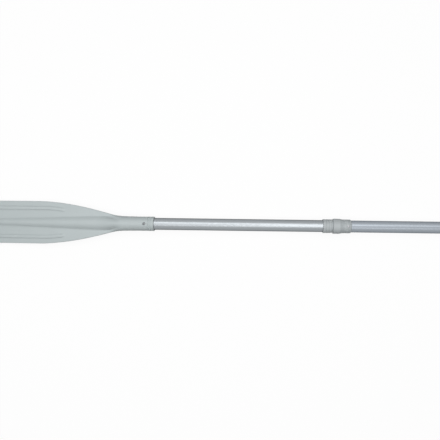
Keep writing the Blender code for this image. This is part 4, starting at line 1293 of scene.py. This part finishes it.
def threaded(shape, along, turn, radius):
    phase = fraction(along / shape.size("pitch") - turns(turn) + 100.0)
    ridge = magnitude(phase - 0.5) * 2.0
    low, high, pitch_line = (shape.size(name) for name in ("thread_start", "thread_end", "thread_radius"))
    here = ramp(along, low, low + 1.0 * MM) * fade(along, high - 0.5 * MM, high)
    on_shank = above(pitch_line + 0.2 * MM, radius) * above(radius, pitch_line - 0.2 * MM)
    return radius - ridge * shape.size("thread_depth") * here * on_shank


def six_flats(shape, along, turn, radius):
    radius = threaded(shape, along, turn, radius)
    sector = fraction(turns(turn, -6.0)) - 0.5
    flat = shape.size("flat_distance") / cosine(sector * (math.pi / 3.0))
    return mix(radius, least(radius, flat), above(radius, NUT_OUTER_SIDE * MM))


def screwdriver_slot(shape):
    size = (2 * SLOT_CUT * MM, SLOT_REACH * MM, DRIVER_WIDTH * MM)
    return [shape.box(size, (HEAD_TOP * MM, 0.0, 0.0))]


def standing_tree(name, relief=None, cutters=None, steps=48, **sizes):
    """A tree for a piece turned about the screw's upright line, whose heights are from the
    shaft's axis."""
    shape = ShapeTree(name, steps=steps, **sizes)
    turned = turn_profile(shape, relief)
    if cutters:
        turned = shape.cut(turned, *cutters(shape))
    place = (SCREW_X * MM, SCREW_Y * MM, AXIS_Z)
    return shape.finished(shape.placed(turned, place, (0.0, -math.pi / 2, 0.0)))


# %% Screw, washer and nut
SCREW_END, SHANK_RADIUS, SHANK_SEAT = -13.9, 2.5, 10.1
NUT_BOTTOM, NUT_TOP, NUT_CORNER, NUT_CHAMFER = -12.8, -8.8, 4.62, 0.35
WASHER_BOTTOM, WASHER_TOP = 8.8, 9.8
NUT_BORE = 2.8
THREAD = {"pitch": 0.8 * MM, "thread_radius": SHANK_RADIUS * MM, "thread_depth": 0.4 * MM}
SCREW_THREAD = {"thread_start": SCREW_END * MM, "thread_end": 4.0 * MM, **THREAD}
NUT_THREAD = {"thread_start": -13.0 * MM, "thread_end": -8.6 * MM, **THREAD}

screw_points = [
    (SCREW_END, 0.0), (SCREW_END, 1.7, 0.2), (-13.1, SHANK_RADIUS, 0.2),
    *((height, SHANK_RADIUS) for height in even_steps(-13.0, 4.0, 0.1)),
    (SHANK_SEAT, SHANK_RADIUS, 0.1), (SHANK_SEAT, HEAD_RADIUS, 0.2), (12.1, HEAD_RADIUS, 1.6),
    (HEAD_TOP, 3.4, 1.2), (HEAD_TOP, 0.0),
]
screw_tree = standing_tree("threaded screw", threaded, screwdriver_slot, **SCREW_THREAD)
turned_piece("stop_screw_threaded", screw_tree, SCREW_STEEL, screw_points, 0.0, "stop_screw")

washer_points = [
    (WASHER_BOTTOM, 4.0), (WASHER_BOTTOM, 5.2, 0.15), (WASHER_TOP, 5.2, 0.35),
    (WASHER_TOP, NUT_BORE, 0.2), (WASHER_BOTTOM, NUT_BORE, 0.15),
]
washer_tree = standing_tree("washer", steps=64)
turned_piece("stop_washer_ring", washer_tree, SCREW_STEEL, washer_points, 0.0, "stop_washer")

nut_points = [
    (NUT_BOTTOM, 3.2), (NUT_BOTTOM, 4.0), (NUT_BOTTOM + NUT_CHAMFER, NUT_CORNER),
    (NUT_TOP - NUT_CHAMFER, NUT_CORNER), (NUT_TOP, 4.0), (NUT_TOP, 3.2), (NUT_TOP, NUT_BORE, 0.2),
    *((height, NUT_BORE) for height in even_steps(-9.0, -12.6, -0.2)), (NUT_BOTTOM, NUT_BORE),
]
nut_tree = standing_tree("hexagon nut", six_flats, steps=96, flat_distance=4.0 * MM, **NUT_THREAD)
turned_piece("stop_nut_hex", nut_tree, SCREW_STEEL, nut_points, 0.0, "stop_nut")

# %% [markdown]
# ## Grip and end cap
#
# The grip is a rubber sleeve with a slight swell, ring grooves near its ends and middle, and a
# diamond pattern cut between them so that a wet hand holds. Two sets of helical lines make the
# diamonds: each is a relief that follows the distance along the grip plus or minus the turn.

# %% The grip
GRIP_START, GRIP_END = 916.0, 1044.0
GRIP_LENGTH = GRIP_END - GRIP_START
GRIP_RADIUS = 19.9
GRIP_SWELL = 0.9
GRIP_SKIN_FROM, GRIP_SKIN_TO = 19.0, 19.3
GRIP_GROOVES = (12.0, 46.7, 81.3, 116.0)
GRIP_GROOVE_HALF_WIDTH, GRIP_GROOVE_DEPTH = 1.5, 0.8
PLAIN_BAND_HALF_WIDTH = 2.6
END_MARGIN = 3.0


def diamonds(shape, along, turn, radius):
    """Two crossing sets of fine helical grooves on the outer side, away from the ring grooves."""
    grooves = []
    for direction in (1.0, -1.0):
        winding = turns(turn * direction * shape.size("starts"))
        phase = fraction(along / shape.size("diamond_lead") + winding + 1000.0)
        grooves.append(fade(magnitude(phase - 0.5) * 2.0, 0.0, 0.42, smooth=True))
    outside = ramp(radius, GRIP_SKIN_FROM * MM, GRIP_SKIN_TO * MM)
    here = between(along, (GRIP_START + END_MARGIN) * MM, (GRIP_END - END_MARGIN) * MM, 2.0 * MM)
    band = PLAIN_BAND_HALF_WIDTH * MM
    for middle in GRIP_GROOVES:
        away = magnitude(along - (GRIP_START + middle) * MM)
        here = here * ramp(away, band, band + 1.0 * MM, smooth=True)
    return radius - most(*grooves) * shape.size("diamond_depth") * outside * here


def grip_radius(along):
    swell = GRIP_SWELL * math.sin(math.pi * along / GRIP_LENGTH)
    nearest = min(abs(along - middle) for middle in GRIP_GROOVES)
    groove = smooth_step(max(0.0, 1.0 - nearest / GRIP_GROOVE_HALF_WIDTH))
    return GRIP_RADIUS + swell - GRIP_GROOVE_DEPTH * groove


GRIP_SIZES = {"diamond_lead": 6.0 * MM, "starts": 18.0, "diamond_depth": 0.45 * MM}
GRIP_TREE = turned_tree("grip with diamonds", diamonds, steps=216, **GRIP_SIZES)
grip_points = [
    (0.0, 18.6), (0.0, GRIP_RADIUS, 1.4),
    *((along, grip_radius(along)) for along in even_steps(1.5, GRIP_LENGTH - 1.5, 0.62)),
    (GRIP_LENGTH, GRIP_RADIUS, 1.4), (GRIP_LENGTH, TUBE_SEAT, 0.4), (0.0, TUBE_SEAT, 0.4),
]
turned_piece("grip_sleeve", GRIP_TREE, GRIP_RUBBER, grip_points, GRIP_START, "grip")

# %% The end cap
PLUG_START, PLUG_RADIUS, PLUG_BORE = -34.0, 15.7, 13.5
CAP_RADIUS, CAP_LENGTH = 22.5, 6.0

cap_points = [
    (PLUG_START, 14.0), (PLUG_START, PLUG_RADIUS, 1.2), (0.3, PLUG_RADIUS, 0.3), (0.3, CAP_RADIUS, 1.6),
    (CAP_LENGTH, CAP_RADIUS, 3.6), (CAP_LENGTH, 4.0), (5.5, 3.4, 0.3), (5.5, 0.0), (-1.9, 0.0),
    (-1.9, PLUG_BORE, 0.8), (PLUG_START, PLUG_BORE, 0.4),
]
turned_piece("end_cap_moulding", PLAIN_TURNING, GRIP_RUBBER, cap_points, GRIP_END, "end_cap")

# %% [markdown]
# ## Pieces that keep their solids
#
# The seal and the two foam plugs are plain turned shapes inside the oar. Their solids are
# right as they are, so they only get their finishes.

# %% Finishes for the seal and the plugs
HIDDEN = {"joint_seal": SEAL_RUBBER, "lower_tube_plug": PLUG_FOAM, "upper_tube_plug": PLUG_FOAM}
for node, finish in HIDDEN.items():
    one_finish(bpy.data.objects[node], finish)
    print(f"{node} keeps its solid, in {finish.name}")

# %% [markdown]
# ## Floor and light
#
# The photograph was lit by one broad soft lamp overhead, a little to the blade's upper side in
# the picture, on white. A pale floor carries a soft shadow. Most of what the camera sees of it
# is its own plain white, and the rest is its lit colour, so that the shadow stays. The room
# round it gives little light, and is white to the camera and in what the metal mirrors.


# %% Floor
FLOOR_RADIUS = 45.0
FLOOR_SIDES = 48
FLOOR_SEEN = 0.9
FLOOR_BOUNCE = 0.15
WHITE_SHARE = 0.92


def seen_rays(builder):
    """1 for rays that come from the camera, also by a mirror or through glass, and 0 for others."""
    rays = builder.node("ShaderNodeLightPath").outputs
    kinds = ("Is Camera Ray", "Is Glossy Ray", "Is Transmission Ray")
    direct, mirrored, through = (Field(builder.tree, rays[kind]) for kind in kinds)
    return direct + mirrored + through


angles = [side * 2.0 * math.pi / FLOOR_SIDES for side in range(FLOOR_SIDES)]
corners = [(math.cos(angle) * FLOOR_RADIUS, math.sin(angle) * FLOOR_RADIUS, 0.0) for angle in angles]
floor_mesh = bpy.data.meshes.new("floor")
floor_mesh.from_pydata(corners, [], [list(range(FLOOR_SIDES))])
floor = in_scene("floor", floor_mesh)

paper = bpy.data.materials.new("white_floor")
paper.use_nodes = True
sheet = NodeBuilder(paper.node_tree)
seen = seen_rays(sheet)
sheet.tree.nodes.remove(sheet.tree.nodes["Principled BSDF"])
level = mix(FLOOR_BOUNCE, FLOOR_SEEN, seen)
lit = sheet.node("ShaderNodeBsdfDiffuse", Color=sheet.vector(level, level, level))
white = sheet.node("ShaderNodeEmission", Color=colour(1.0, 1.0, 1.0), Strength=1.0)
both = sheet.node("ShaderNodeMixShader")
for value, socket in zip((seen * WHITE_SHARE, lit.outputs[0], white.outputs[0]), both.inputs):
    plug(sheet.tree, value, socket)
plug(sheet.tree, both.outputs[0], sheet.tree.nodes["Material Output"].inputs[0])
floor_mesh.materials.append(paper)

# %% Lamp and world
LAMP_HEIGHT = 2.2
LAMP_TILT = math.radians(6)
LAMP_LENGTH = 3.4
LAMP_WIDTH = 2.4
LAMP_RADIANCE = 2.55
LAMP_X = -0.35
WORLD_LEVEL = 0.15
WORLD_SEEN = 1.0

lamp_data = bpy.data.lights.new("softbox", "AREA")
lamp_data.shape = "RECTANGLE"
lamp_data.size = LAMP_LENGTH
lamp_data.size_y = LAMP_WIDTH
lamp_data.energy = LAMP_RADIANCE * math.pi * LAMP_LENGTH * LAMP_WIDTH
lamp = in_scene("softbox", lamp_data)
lamp.location = (LAMP_X, math.sin(LAMP_TILT) * LAMP_HEIGHT, math.cos(LAMP_TILT) * LAMP_HEIGHT)
lamp.rotation_euler = (-LAMP_TILT, 0.0, 0.0)
lamp.visible_camera = False

world = bpy.data.worlds.new("room")
bpy.context.scene.world = world
world.use_nodes = True
room = NodeBuilder(world.node_tree)
background = room.tree.nodes["Background"]
background.inputs["Color"].default_value = colour(1.0, 1.0, 1.0)
plug(room.tree, mix(WORLD_LEVEL, WORLD_SEEN, seen_rays(room)), background.inputs["Strength"])
bpy.context.scene.view_settings.view_transform = "Standard"
print(f"lamp {lamp_data.energy:.0f} W")
